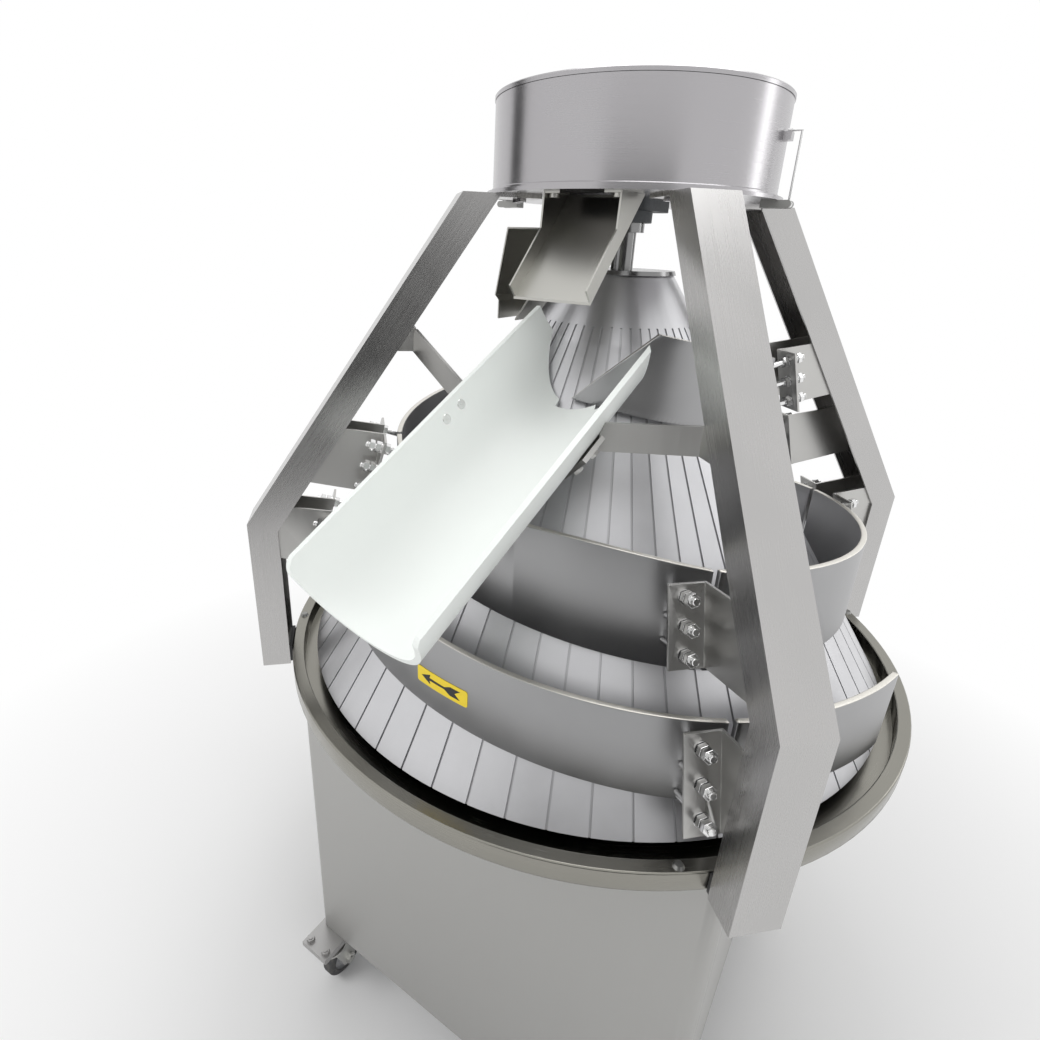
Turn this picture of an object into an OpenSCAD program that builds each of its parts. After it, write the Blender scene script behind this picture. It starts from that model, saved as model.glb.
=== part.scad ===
// Conical dough rounder: a grooved cone turns inside fixed spiral tracks that roll dough balls
// upwards, under a flour drum carried by four bent arms, on a square cabinet with casters.
// Millimetres, +Z up, origin on the floor under the cone's axis. The front faces -Y.

/* [Cabinet] */
// Side of the square cabinet
cabinet_w = 636; // [600:2:636]
// Height of the foot bars' top, where the cabinet starts
cabinet_z = 120; // [118:1:130]
// Outer radius of the cabinet's vertical corners
cabinet_corner_r = 18; // [12:1:22]
// Thickness of the sheet panels
panel_t = 2; // [1.5:0.1:3]
// Width of the strip that the front and rear panels fold round each corner
panel_return = 24; // [20:1:40]
// Gap between that strip and the side panel
panel_gap = 5; // [3:0.5:8]
// Side of the square tube in the frame
tube_w = 30; // [25:1:35]
// Width of a foot bar
foot_bar_w = 58; // [56:1:66]
// Thickness of a foot bar
foot_bar_t = 10; // [8:0.5:12]
// Length that a foot bar stands out past the front and rear
foot_bar_out = 45; // [38:1:60]

/* [Casters] */
// Diameter of a caster wheel
wheel_d = 80; // [70:1:82]
// Width of a caster wheel
wheel_w = 26; // [20:1:28]
// Distance from the swivel axis to the wheel's axle
caster_trail = 26; // [20:1:30]
// Thickness of the caster's top plate
caster_plate_t = 4; // [3:0.5:5]
// Diameter of the swivel race
race_d = 46; // [40:1:50]
// Diameter of the wheel's axle bolt
axle_d = 10; // [8:0.5:12]

/* [Drive] */
// Diameter of the main shaft inside the cone
shaft_d = 40; // [34:1:44]
// Diameter of the main shaft above the cone
neck_d = 28; // [24:1:32]
// Centre distance of the two pulleys
belt_centres = 190; // [180:1:200]
// Outer radius of the drive pulley
drive_pulley_r = 42; // [36:1:48]
// Outer radius of the driven pulley
driven_pulley_r = 105; // [95:1:115]
// Width of the belt
belt_w = 17; // [13:1:20]
// Thickness of the belt
belt_t = 9; // [7:0.5:10]
// Height of the plate that carries the gearmotor
drive_plate_z = 500; // [470:1:520]
// Thickness of that plate
drive_plate_t = 8; // [6:0.5:10]
// Radius of the gearmotor's motor
motor_r = 70; // [60:1:75]
// Length of the gearmotor's motor
motor_h = 210; // [180:1:220]

/* [Pan] */
// Outer radius of the pan's ring
ring_r = 450; // [450:1:470]
// Height of the ring's top
ring_top_z = 750; // [740:1:765]
// Height of the ring
ring_h = 25; // [22:1:30]
// Width of the ring's flat top
ring_w = 16; // [14:1:18]
// Thickness of the pan's floor
pan_floor_t = 3; // [2:0.5:4]
// Distance from the ring's outer edge to the cone's bottom edge
gutter_w = 34.5; // [34:0.5:45]

/* [Cone] */
// Height of the cone
cone_h = 519.5; // [500:0.5:530]
// Radius of the cone's top
cone_top_r = 66.4; // [64:0.2:67]
// Height of the cone's bottom edge above the pan's floor
cone_lift = 19.5; // [17:0.5:24]
// Horizontal thickness of the cone's wall
cone_wall = 10; // [8:0.5:12]
// Number of grooves round the cone
groove_n = 60; // [48:1:72]
// Width of a groove
groove_w = 2.6; // [2:0.1:4]
// Depth of a groove
groove_d = 1.6; // [1:0.1:2.5]
// Height of the smooth collar above the grooves
collar_h = 57; // [45:1:80]
// Radius of the cap on the cone
cap_r = 70; // [68:0.5:76]
// Thickness of that cap
cap_t = 5; // [4:0.5:8]

/* [Tracks] */
// Height of the first track's lower edge at the front right arm
track_a_z = 783; // [780:1:792]
// Height of the second track above the first
track_pitch = 106.5; // [106:0.5:114]
// Height that a track climbs in one turn
track_lead = 222; // [216:1:226]
// Height of the first track's band
band_a_h = 101; // [90:1:104]
// Height of the second track's band
band_b_h = 118; // [105:1:120]
// Height that the second track's band loses in each turn above the front right arm
band_b_loss = 20; // [0:1:40]
// Thickness of a band
band_t = 7; // [5:0.5:9]
// Running gap between a band and the cone
track_gap = 3; // [2:0.5:5]
// Rise of a band's lower edge above the helix half way along a segment
band_bulge = 5; // [0:0.5:8]
// Rise and fall of the wavy top edge of the band at the front
band_wave = 9; // [0:0.5:10]
// Angle left free between a band's end and the arm's centre plane
band_end_gap = 0.6; // [0.4:0.1:2]
// Azimuth step of a band's facets
band_step = 4; // [3:1:9]

/* [Arms] */
// Width of an arm's channel
arm_w = 53; // [48:1:60]
// Depth of an arm's channel
arm_depth = 38; // [34:1:42]
// Thickness of an arm's sheet
arm_t = 3; // [2:0.5:4]
// Distance from the ring to an arm's outer face
arm_out = 42; // [41:1:50]
// Length that an arm hangs below the ring's top
arm_drop = 30; // [25:1:45]
// Height of an arm's knee above the ring's top
arm_knee = 194; // [180:1:200]
// Outer radius of an arm's top end
arm_top_r = 213; // [206:1:220]
// Standoff of a bracket's wing from the band, at its middle
wing_standoff = 27; // [24:1:30]
// Width of a bracket's wing
wing_w = 37; // [32:1:42]
// Thickness of a bracket's sheet
bracket_t = 3; // [2:0.5:4]
// Height of a bracket
bracket_h = 80; // [70:1:90]
// Height of a bracket's lower end above the band's lower edge
bracket_rise = 38; // [30:1:42]
// Horizontal lean of a bracket's wing per unit of height
wing_lean = 0.3; // [0.2:0.02:0.34]
// Diameter of the studs that hold the bands
stud_d = 8; // [6:1:10]

/* [Flour drum] */
// Height of the gap between the cone's cap and the drum's base plate
neck_gap = 80; // [74:1:90]
// Radius of the drum's base plate
base_plate_r = 177; // [176:1:182]
// Thickness of that plate
base_plate_t = 4; // [3:0.5:6]
// Outer radius of the drum
drum_r = 170; // [160:1:172]
// Height of the drum's wall
drum_h = 97; // [85:1:130]
// Thickness of the drum's wall
drum_t = 2; // [1.5:0.1:3]
// Thickness of the lid's edge
lid_t = 5; // [4:0.5:8]
// Outer width of the flour trough
trough_w = 92; // [84:1:98]
// Height of the trough's side flanges
trough_flange = 16; // [12:1:20]
// Slope of the trough below the horizontal
trough_slope = 44; // [40:1:50]
// Length of the trough's floor
trough_len = 151; // [130:1:156]

/* [Discharge chute] */
// Inner radius of the half tube
chute_r = 82; // [78:1:84]
// Thickness of its wall
chute_t = 6; // [4:0.5:7]
// Slope of the half tube
chute_slope = 29.1; // [28.5:0.1:30]
// Azimuth that the half tube climbs towards
chute_az = 84.3; // [83:0.1:86]
// Height of its axis at the lower end
chute_z = 1028; // [1026:1:1040]
// Distance that its lower end stands out past the ring
chute_over = 61.6; // [61:0.2:70]
// Length of its left rim
chute_len = 428; // [420:1:430]
// Gap between its upper end and the cone
chute_gap = 6; // [4:0.5:10]

/* [Controls] */
// Width of the control box
control_w = 150; // [130:1:200]
// Height of the control box
control_h = 190; // [170:1:240]
// Depth of the control box
control_d = 62; // [50:1:80]
// Diameter of the push buttons
button_d = 26; // [22:1:28]
// Diameter of the emergency stop's head
mushroom_d = 40; // [36:1:44]

/* [Hidden] */
$fn = 96;

// Gap between pieces that seat on each other without touching
seat = 0.3;
// Radial running clearance of a shaft in its bearing
run_fit = 0.05;
// Gap at the welds between the frame's tubes
weld_gap = 0.1;
// Overlap of the shapes joined into one piece
join = 1;
// Length by which a cut runs past its piece
past = 10;

half_w = cabinet_w / 2;
cone_r0 = ring_r - gutter_w;
cone_taper = (cone_r0 - cone_top_r) / cone_h;
track_b_z = track_a_z + track_pitch;
ring_z = ring_top_z - ring_h;
pan_top = ring_z + pan_floor_t;
cone_z = pan_top + cone_lift;
cone_top = cone_z + cone_h;
plate_z = cone_top + cap_t + neck_gap;
drum_z = plate_z + base_plate_t;
drum_top = drum_z + drum_h;
fork_clear = 1;

// Azimuths of the arms, front left first
ARM_AZ = [225, 315, 45, 135];
arm_ref = 315;
arm_ro = ring_r + arm_out;
arm_foot_z = ring_top_z - arm_drop;
knee_z = ring_top_z + arm_knee;
arm_fall = (arm_ro - arm_top_r) / (plate_z - knee_z);
arm_cos = cos(atan(arm_fall));
arm_in_w = arm_w - 2 * arm_t;

function cone_r(z) = cone_r0 - (z - cone_z) * cone_taper;
function arm_face(z) = z < knee_z ? arm_ro : arm_ro - (z - knee_z) * arm_fall;
function helix_z(z0, az) = z0 + (arm_ref - az) * track_lead / 360;

// A box centred on X and Y that stands on z = 0
module block(x, y, z) {
    translate([-x / 2, -y / 2, 0]) cube([x, y, z]);
}

// A square outline with round corners
module round_square(w, r) {
    square([w - 2 * r, w], center = true);
    square([w, w - 2 * r], center = true);
    for (sx = [-1, 1], sy = [-1, 1])
        translate([sx * (w / 2 - r), sy * (w / 2 - r)]) circle(r = r);
}

// A hex bolt head or nut with its base on z = 0
module hex(across, h) {
    cylinder(d = across / cos(30), h = h, $fn = 6);
}

// A hex bolt hanging down: its head is below z = 0 and its shank rises through what it holds
module bolt_up(d, len) {
    translate([0, 0, -0.6 * d]) hex(1.6 * d, 0.6 * d);
    translate([0, 0, -join]) cylinder(d = d, h = len + join);
}

// A flat bar of height w and thickness t between two points, with square ends
module flat_bar(a, b, w, t) {
    v = b - a;
    run = norm([v[0], v[1]]);
    translate(a) rotate([0, -atan2(v[2], run), atan2(v[1], v[0])])
        translate([0, -t / 2, -w / 2]) cube([norm(v), t, w]);
}

// Casters

foot_x = half_w - foot_bar_w / 2;
foot_z = cabinet_z - foot_bar_t;
swivel_y = half_w + foot_bar_out - 38;
caster_plate_l = 72;
caster_hole_x = 19;
caster_hole_y = 27;
caster_bolt_d = 8;
race_h = 12;
wheel_r = wheel_d / 2;
fork_t = 4;
fork_in = wheel_w / 2 + fork_clear;
race_z = foot_z - caster_plate_t - race_h;
hub_r = 17;
hub_lip = 0.6;

// Places a caster's own frame: its swivel axis is Z and its wheel trails towards the centre
module at_caster(sx, sy) {
    translate([sx * foot_x, sy * swivel_y, 0]) rotate([0, 0, sy < 0 ? 0 : 180]) children();
}

module foot_bars() {
    color("silver") for (sx = [-1, 1]) translate([sx * foot_x, 0, foot_z]) difference() {
        block(foot_bar_w, cabinet_w + 2 * foot_bar_out, foot_bar_t);
        for (sy = [-1, 1], hx = [-1, 1], hy = [-1, 1])
            translate([hx * caster_hole_x, sy * swivel_y + hy * caster_hole_y, -past])
                cylinder(d = caster_bolt_d + 1, h = foot_bar_t + 2 * past);
    }
}

// Top plate, fixed half of the swivel race and the four bolts of each caster, with nuts on the
// foot bar's free end
module caster_plates() {
    color("gainsboro") for (sx = [-1, 1], sy = [-1, 1]) at_caster(sx, sy) {
        translate([0, 0, foot_z - caster_plate_t]) block(foot_bar_w - 2, caster_plate_l, caster_plate_t);
        translate([0, 0, race_z + seat]) cylinder(d = race_d, h = race_h - seat + join);
        for (hx = [-1, 1], hy = [-1, 1])
            translate([hx * caster_hole_x, hy * caster_hole_y, foot_z - caster_plate_t])
                bolt_up(caster_bolt_d, caster_plate_t + foot_bar_t - 1);
        for (hx = [-1, 1]) translate([hx * caster_hole_x, -caster_hole_y, cabinet_z + run_fit]) {
            hex(1.6 * caster_bolt_d, 0.8 * caster_bolt_d);
            translate([0, 0, -foot_bar_t]) cylinder(d = caster_bolt_d, h = foot_bar_t + caster_bolt_d);
        }
    }
}

// Pressed fork with its crown under the race, and the axle bolt through its legs
module caster_fork(sx, sy) {
    crown_z = race_z - fork_t;
    leg_w = 34;
    color("silver") at_caster(sx, sy) {
        translate([0, 0, crown_z]) difference() {
            union() {
                cylinder(d = race_d + 8, h = fork_t);
                translate([0, caster_trail / 2, 0]) block(2 * (fork_in + fork_t), race_d, fork_t);
            }
            translate([0, 0, -past]) cylinder(d = 12, h = fork_t + 2 * past);
        }
        for (side = [-1, 1]) difference() {
            translate([side * (fork_in + fork_t / 2), 0, 0]) rotate([90, 0, 90])
                translate([0, 0, -fork_t / 2]) linear_extrude(fork_t) union() {
                    polygon([[-race_d / 2 + caster_trail / 2, crown_z + join],
                        [race_d / 2 + caster_trail / 2, crown_z + join],
                        [caster_trail + leg_w / 2 - 2, wheel_r], [caster_trail - leg_w / 2 + 2, wheel_r]]);
                    translate([caster_trail, wheel_r]) circle(r = leg_w / 2 - 2);
                }
            translate([0, caster_trail, wheel_r]) rotate([0, 90, 0])
                cylinder(d = axle_d + 0.4, h = 200, center = true);
        }
        translate([-fork_in - fork_t - 0.05, caster_trail, wheel_r]) rotate([0, 90, 0]) {
            cylinder(d = axle_d, h = 2 * (fork_in + fork_t) + 8);
            translate([0, 0, -6]) hex(16, 6);
            translate([0, 0, 2 * (fork_in + fork_t) + 0.1]) hex(16, 7);
        }
    }
}
module caster_fork_fl() { caster_fork(-1, -1); }
module caster_fork_fr() { caster_fork(1, -1); }
module caster_fork_rl() { caster_fork(-1, 1); }
module caster_fork_rr() { caster_fork(1, 1); }

// Wheel with a round tread, a recessed disc and a raised hub
module caster_wheel(sx, sy) {
    tread = 6;
    rim_in = wheel_r - 12;
    disc_t = 10;
    color("dimgray") at_caster(sx, sy) translate([0, caster_trail, wheel_r]) rotate([0, 90, 0])
        rotate_extrude() polygon([[axle_d / 2 + run_fit, -wheel_w / 2 + hub_lip],
            [hub_r, -wheel_w / 2 + hub_lip], [hub_r, -disc_t / 2], [rim_in, -disc_t / 2],
            [rim_in, -wheel_w / 2 + 1], [wheel_r - tread, -wheel_w / 2 + 1],
            [wheel_r, -wheel_w / 2 + tread], [wheel_r, wheel_w / 2 - tread],
            [wheel_r - tread, wheel_w / 2 - 1], [rim_in, wheel_w / 2 - 1],
            [rim_in, disc_t / 2], [hub_r, disc_t / 2], [hub_r, wheel_w / 2 - hub_lip],
            [axle_d / 2 + run_fit, wheel_w / 2 - hub_lip]]);
}
module caster_wheel_fl() { caster_wheel(-1, -1); }
module caster_wheel_fr() { caster_wheel(1, -1); }
module caster_wheel_rl() { caster_wheel(-1, 1); }
module caster_wheel_rr() { caster_wheel(1, 1); }

// Cabinet

frame_in = half_w - panel_t - seat;
post_at = frame_in - tube_w / 2 - cabinet_corner_r / 3;
frame_top = ring_z - seat;
panel_h = frame_top - cabinet_z;
ledge_z = drive_plate_z - tube_w;
rail_at = frame_in - tube_w / 2;
rail_len = 2 * post_at - tube_w - 2 * weld_gap;

// Four posts, and square rings of rails at the bottom, under the drive plate and at the top
module frame_tubes() {
    color("gray") {
        for (sx = [-1, 1], sy = [-1, 1]) translate([sx * post_at, sy * post_at, cabinet_z])
            difference() {
                block(tube_w, tube_w, panel_h);
                translate([0, 0, -past]) block(tube_w - 4, tube_w - 4, panel_h + 2 * past);
            }
        for (z = [cabinet_z, ledge_z, frame_top - tube_w], side = [-1, 1]) {
            translate([side * rail_at, 0, z]) block(tube_w, rail_len, tube_w);
            translate([0, side * rail_at, z]) block(rail_len, tube_w, tube_w);
        }
    }
}

// Sheet that covers a whole face and folds round both corners
module wrap_panel(h) {
    linear_extrude(h) intersection() {
        difference() {
            round_square(cabinet_w, cabinet_corner_r);
            round_square(cabinet_w - 2 * panel_t, cabinet_corner_r - panel_t);
        }
        translate([-half_w - past, -half_w - past])
            square([cabinet_w + 2 * past, past + cabinet_corner_r + panel_return]);
    }
}

// Flat sheet between the two folded strips
module side_panel(h) {
    w = cabinet_w - 2 * (cabinet_corner_r + panel_return + panel_gap);
    translate([half_w - panel_t, -w / 2, 0]) cube([panel_t, w, h]);
}

module front_panel() { color("lightgray") translate([0, 0, cabinet_z]) wrap_panel(panel_h); }
module rear_panel() {
    color("lightgray") translate([0, 0, cabinet_z]) rotate([0, 0, 180]) difference() {
        wrap_panel(panel_h);
        // ventilation slots in front of the motor
        for (i = [-vent_n / 2 : vent_n / 2]) translate([-vent_w / 2, -half_w - past, vent_z + i * 16])
            cube([vent_w, 2 * past, 5]);
    }
}
vent_n = 6;
vent_w = 180;
vent_z = 190;
module right_panel() { color("lightgray") translate([0, 0, cabinet_z]) side_panel(panel_h); }
module left_panel() {
    color("lightgray") difference() {
        translate([0, 0, cabinet_z]) rotate([0, 0, 180]) side_panel(panel_h);
        translate([-half_w, control_y, control_z + 30]) rotate([0, 90, 0])
            cylinder(d = 26, h = 60, center = true);
    }
}

// Drive: the gearmotor hangs under a plate and turns the main shaft through a belt

belt_z = drive_plate_z + drive_plate_t + 52;
pulley_flange = 3.5;
pulley_h = belt_w + 2 * (pulley_flange + seat);
groove_in = belt_t + seat;
belt_in_a = driven_pulley_r - 4 - belt_t;
belt_in_b = drive_pulley_r - 4 - belt_t;
motor_x = -belt_centres;
output_d = 24;
gearbox_h = 96;
bearing_h = 24;
bearing_bore = shaft_d / 2 + run_fit;
bearing_w = 120;

module drive_plate() {
    color("gray") translate([0, 0, drive_plate_z]) difference() {
        block(2 * (post_at + tube_w / 2), rail_len - 2 * seat, drive_plate_t);
        translate([0, 0, -past]) cylinder(r = shaft_d / 2 + 8, h = drive_plate_t + 2 * past);
        translate([motor_x, 0, -past]) cylinder(r = output_d / 2 + 16, h = drive_plate_t + 2 * past);
        for (sx = [-1, 1], sy = [-1, 1]) translate([110 + sx * 70, sy * 170, -past])
            cylinder(r = 45, h = drive_plate_t + 2 * past);
    }
}

// Motor with cooling ribs and end bell, under the gearbox whose flange bolts to the plate
module gearmotor() {
    box_z = drive_plate_z - gearbox_h;
    rib_n = 28;
    color("steelblue") translate([motor_x, 0, 0]) difference() {
        union() {
            translate([0, 0, box_z]) block(150, 150, gearbox_h - seat);
            translate([0, 0, box_z - 14]) cylinder(r = motor_r + 6, h = 14 + join);
            translate([0, 0, box_z - motor_h]) cylinder(r = motor_r - 8, h = motor_h);
            for (i = [0 : rib_n - 1]) rotate([0, 0, i * 360 / rib_n])
                translate([motor_r - 12, -1.5, box_z - motor_h + 34]) cube([12, 3, motor_h - 40]);
            translate([0, 0, box_z - motor_h]) cylinder(r = motor_r, h = 36);
            translate([0, motor_r + 14, box_z - motor_h + 90]) block(70, 44, 80);
        }
        translate([0, 0, box_z + 20]) cylinder(d = output_d + 2 * run_fit, h = gearbox_h);
    }
}

// Pulley with a belt groove between two flanges, on a hub
module pulley(r, belt_in, bore_r, hub) {
    rotate_extrude() polygon([[bore_r, -pulley_h / 2 - 12], [hub, -pulley_h / 2 - 12],
        [hub, -pulley_h / 2], [r, -pulley_h / 2], [r, -belt_w / 2 - seat],
        [belt_in - seat, -belt_w / 2 - seat], [belt_in - seat, belt_w / 2 + seat],
        [r, belt_w / 2 + seat], [r, pulley_h / 2], [bore_r, pulley_h / 2]]);
}

// Drive pulley on the gearmotor's output shaft
module drive_pulley() {
    color("dimgray") translate([motor_x, 0, belt_z])
        pulley(drive_pulley_r, belt_in_b, output_d / 2 - join, 20);
    color("silver") translate([motor_x, 0, drive_plate_z - gearbox_h + 20 + seat])
        cylinder(d = output_d, h = belt_z + pulley_h / 2 - drive_plate_z + gearbox_h - 20);
}

module driven_pulley() {
    color("dimgray") translate([0, 0, belt_z]) difference() {
        pulley(driven_pulley_r, belt_in_a, shaft_d / 2 + 0.02, 34);
        for (i = [0 : 5]) rotate([0, 0, i * 60]) translate([62, 0, -past - pulley_h])
            cylinder(r = 16, h = 2 * (past + pulley_h));
    }
}

// Outline of the belt: two circles and their outer tangents, grown by e
module belt_outline(e) {
    ra = belt_in_a + e;
    rb = belt_in_b + e;
    tilt = asin((ra - rb) / belt_centres);
    circle(r = ra);
    translate([-belt_centres, 0]) circle(r = rb);
    polygon([for (s = [1, -1]) each [for (k = s > 0 ? [0, 1] : [1, 0])
        [-k * belt_centres - (k > 0 ? rb : ra) * sin(tilt), s * (k > 0 ? rb : ra) * cos(tilt)]]]);
}

module drive_belt() {
    color("black") translate([0, 0, belt_z - belt_w / 2]) linear_extrude(belt_w) difference() {
        belt_outline(belt_t);
        belt_outline(0);
    }
}

// Square flange bearing: a plate with a round boss, its bore running on the shaft
module flange_bearing(w, t, boss_r, h, bore_r, hole_at) {
    difference() {
        union() {
            linear_extrude(t) round_square(w, w / 8);
            cylinder(r = boss_r, h = h);
        }
        translate([0, 0, -past]) cylinder(r = bore_r, h = h + 2 * past);
        for (sx = [-1, 1], sy = [-1, 1]) translate([sx * hole_at, sy * hole_at, -past])
            cylinder(d = 11, h = t + 2 * past);
    }
}

// Flange bearings of the main shaft: one on the drive plate and one on the pan's floor
module shaft_bearings() {
    color("darkslategray") for (z = [drive_plate_z + drive_plate_t, pan_top]) translate([0, 0, z])
        flange_bearing(bearing_w, 14, 40, bearing_h, bearing_bore, 44);
}

// Main shaft: thick through both lower bearings, thin above the cone up to the agitator
shaft_z = drive_plate_z - 14;
cone_web_t = 6;
neck_z = cone_top - cone_web_t;
shaft_top = drum_z + 46;
shaft_collar_r = 23;
shaft_collar_h = 11;
bearing_low = plate_z - 25;
module main_shaft() {
    color("silver") {
        translate([0, 0, shaft_z]) cylinder(d = shaft_d, h = neck_z - shaft_z);
        translate([0, 0, neck_z - join]) cylinder(d = neck_d, h = shaft_top - neck_z + join);
        translate([0, 0, pan_top + bearing_h + seat]) cylinder(r = shaft_d / 2 + 8, h = 14);
        translate([0, 0, bearing_low - shaft_collar_h - seat])
            cylinder(r = shaft_collar_r, h = shaft_collar_h);
    }
}

// Cone

spider_z = cone_z + 40;
web_t = 8;
spider_hub_r = 44;

// Plate with round windows that centres the cone's skirt on the shaft
module cone_spider() {
    rim_r = cone_r(spider_z + web_t) - cone_wall - seat;
    color("gray") translate([0, 0, spider_z]) difference() {
        union() {
            cylinder(r = rim_r, h = web_t);
            cylinder(r = spider_hub_r, h = 60);
        }
        translate([0, 0, -past]) cylinder(r = shaft_d / 2 + 0.02, h = 100);
        for (i = [0 : 5]) rotate([0, 0, 60 * i]) translate([0.6 * rim_r, 0, -past])
            cylinder(r = 0.2 * rim_r, h = web_t + 2 * past);
    }
}

// Conical shell closed by a web at the top, with straight grooves down its slope
module cone() {
    slope_len = (cone_h - collar_h) / cos(atan(cone_taper));
    color("lightsteelblue") difference() {
        rotate_extrude() polygon([[neck_d / 2 + 0.02, neck_z],
            [cone_r(neck_z) - cone_wall, neck_z],
            [cone_r0 - cone_wall + 4 * cone_taper, cone_z], [cone_r0 - 1.5, cone_z], [cone_r0, cone_z + 1.5],
            [cone_r(cone_top), cone_top], [neck_d / 2 + 0.02, cone_top]]);
        for (i = [0.5 : groove_n]) rotate([0, 0, i * 360 / groove_n]) translate([cone_r0, 0, cone_z])
            rotate([0, -atan(cone_taper), 0]) translate([-groove_d, -groove_w / 2, -past])
                cube([past, groove_w, slope_len + past]);
    }
}

// Cap that clamps the cone on the shaft, with three screw heads
module cone_cap() {
    color("silver") translate([0, 0, cone_top]) difference() {
        cylinder(r1 = cap_r - 1, r2 = cap_r - 2.5, h = cap_t);
        translate([0, 0, -past]) cylinder(r = neck_d / 2 + 0.02, h = cap_t + 2 * past);
    }
}

// Pan

// Round pan: a flat floor and a rolled ring round its edge
module base_pan() {
    color("silver") difference() {
        translate([0, 0, ring_z]) union() {
            cylinder(r = ring_r - 1, h = pan_floor_t);
            rotate_extrude() polygon([[ring_r - ring_w, 0], [ring_r - 1.5, 0], [ring_r, 1.5],
                [ring_r, ring_h - 1.5], [ring_r - 1.5, ring_h], [ring_r - ring_w + 1, ring_h],
                [ring_r - ring_w, ring_h - 1]]);
        }
        translate([0, 0, ring_z - past]) cylinder(r = shaft_d / 2 + 10, h = pan_floor_t + 2 * past);
    }
}

// Arms

// Side outline of an arm in radius and height, between two depths behind its outer face
module arm_outline(d0, d1) {
    function knee(d) = [arm_ro - d, knee_z - d * (1 / arm_cos - 1) / arm_fall];
    function top(d) = [arm_top_r - d / arm_cos, plate_z];
    polygon([[arm_ro - d0, arm_foot_z], knee(d0), top(d0), top(d1), knee(d1), [arm_ro - d1, arm_foot_z]]);
}

// Stands a side outline up in the arm's plane, as a sheet centred on tangent offset y
module upright(y, t) {
    translate([0, y + t / 2, 0]) rotate([90, 0, 0]) linear_extrude(t) children();
}

lug_in = 118;
lug_t = 4;
lug_hole_r = 140;
foot_bolt_d = 8;
foot_bolt_r = arm_ro - arm_depth / 2;
// Bent channel open towards the cone, with a closed foot and a bolting lug at its top
module arm(az) {
    flange_y = arm_w / 2 - arm_t / 2;
    color("silver") rotate([0, 0, az]) difference() {
        union() {
            upright(0, arm_w) arm_outline(0, arm_t);
            for (side = [-1, 1]) upright(side * flange_y, arm_t) arm_outline(0, arm_depth);
            translate([arm_ro - arm_depth, -arm_w / 2, arm_foot_z]) cube([arm_depth, arm_w, arm_t]);
            translate([lug_in, -arm_in_w / 2 - join, plate_z - lug_t])
                cube([arm_top_r - arm_t - lug_in, arm_in_w + 2 * join, lug_t]);
        }
        for (y = [-12, 12]) translate([lug_hole_r, y, plate_z - lug_t - past])
            cylinder(d = 7, h = lug_t + 2 * past);
        translate([foot_bolt_r, 0, arm_foot_z - past]) cylinder(d = foot_bolt_d + 1, h = arm_t + 2 * past);
    }
}
module arm_front_left() { arm(ARM_AZ[0]); }
module arm_front_right() { arm(ARM_AZ[1]); }
module arm_rear_right() { arm(ARM_AZ[2]); }
module arm_rear_left() { arm(ARM_AZ[3]); }

// Foot inside each arm's lower end, open upwards, with its screws towards the ring and the arm and
// its bolt from below, and a pan-head screw on the ring beside the arm
foot_t = 4;
foot_screw_z = ring_z + ring_h / 2;
ring_screw_turn = 7;
module arm_feet() {
    w = arm_in_w - 2 * seat;
    near = arm_ro - arm_depth + seat;
    back = arm_ro - arm_t - seat;
    low = arm_foot_z + arm_t + seat;
    color("dimgray") for (az = ARM_AZ) rotate([0, 0, az]) {
        translate([near, -w / 2, low]) difference() {
            cube([back - near, w, ring_top_z - seat - low]);
            translate([foot_t, -past, foot_t]) cube([back - near - 2 * foot_t, w + 2 * past, arm_drop]);
        }
        for (y = [-12, 12]) {
            translate([near + foot_t - join, y, foot_screw_z]) rotate([0, 90, 0]) hex(10, 5 + join);
            translate([back - foot_t - 5, y, foot_screw_z]) rotate([0, 90, 0]) hex(10, 5 + join);
        }
        translate([foot_bolt_r, 0, arm_foot_z - run_fit]) bolt_up(foot_bolt_d, arm_t + seat + foot_t / 2);
        rotate([0, 0, -ring_screw_turn]) translate([ring_r - ring_w / 2, 0, ring_top_z + run_fit])
            cylinder(d1 = 12, d2 = 8, h = 3.5);
    }
}

// Black spacer between the ring and each arm
module arm_pads() {
    color("black") for (az = ARM_AZ) rotate([0, 0, az])
        translate([ring_r + run_fit, -arm_w / 2, ring_z])
            cube([arm_out - arm_depth - 2 * run_fit, arm_w, ring_h]);
}

// Tracks

// Lower edge: a helix that bulges up half way along the segment
function low_z(z0, az, u) = helix_z(z0, az) + band_bulge * sin(180 * u);
function band_h(first, az) = first ? band_a_h : band_b_h - band_b_loss * max(0, arm_ref - az) / 360;

// One ring of a band's section at share u of its length, corners broken by 1.5
function band_ring(first, az0, az1, u, wave) =
    let (az = az0 + (az1 - az0) * u,
        zb = low_z(first ? track_a_z : track_b_z, az, u),
        zt = zb - band_bulge * sin(180 * u) + band_h(first, az) + wave * sin(360 * u),
        rb = cone_r(zb) + track_gap,
        b = 1.5)
    [for (p = [[rb, zb], [rb + band_t - b, zb], [rb + band_t, zb + b],
        [rb + band_t, zt - b], [rb + band_t - b, zt], [rb + b, zt], [rb, zt - b]])
        [p[0] * cos(az), p[0] * sin(az), p[1]]];

// Spiral band from azimuth az0 down to az1
module band(first, az0, az1, wave = 0) {
    n = ceil((az0 - az1) / band_step);
    m = 7;
    points = [for (i = [0 : n]) each band_ring(first, az0, az1, i / n, wave)];
    sides = [for (i = [0 : n - 1], j = [0 : m - 1]) each
        [[i * m + j, i * m + (j + 1) % m, (i + 1) * m + (j + 1) % m],
         [i * m + j, (i + 1) * m + (j + 1) % m, (i + 1) * m + j]]];
    first_cap = [for (j = [1 : m - 2]) [0, j + 1, j]];
    last_cap = [for (j = [1 : m - 2]) [n * m, n * m + j, n * m + j + 1]];
    color("darkgray") polyhedron(points, concat(sides, first_cap, last_cap));
}

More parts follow.
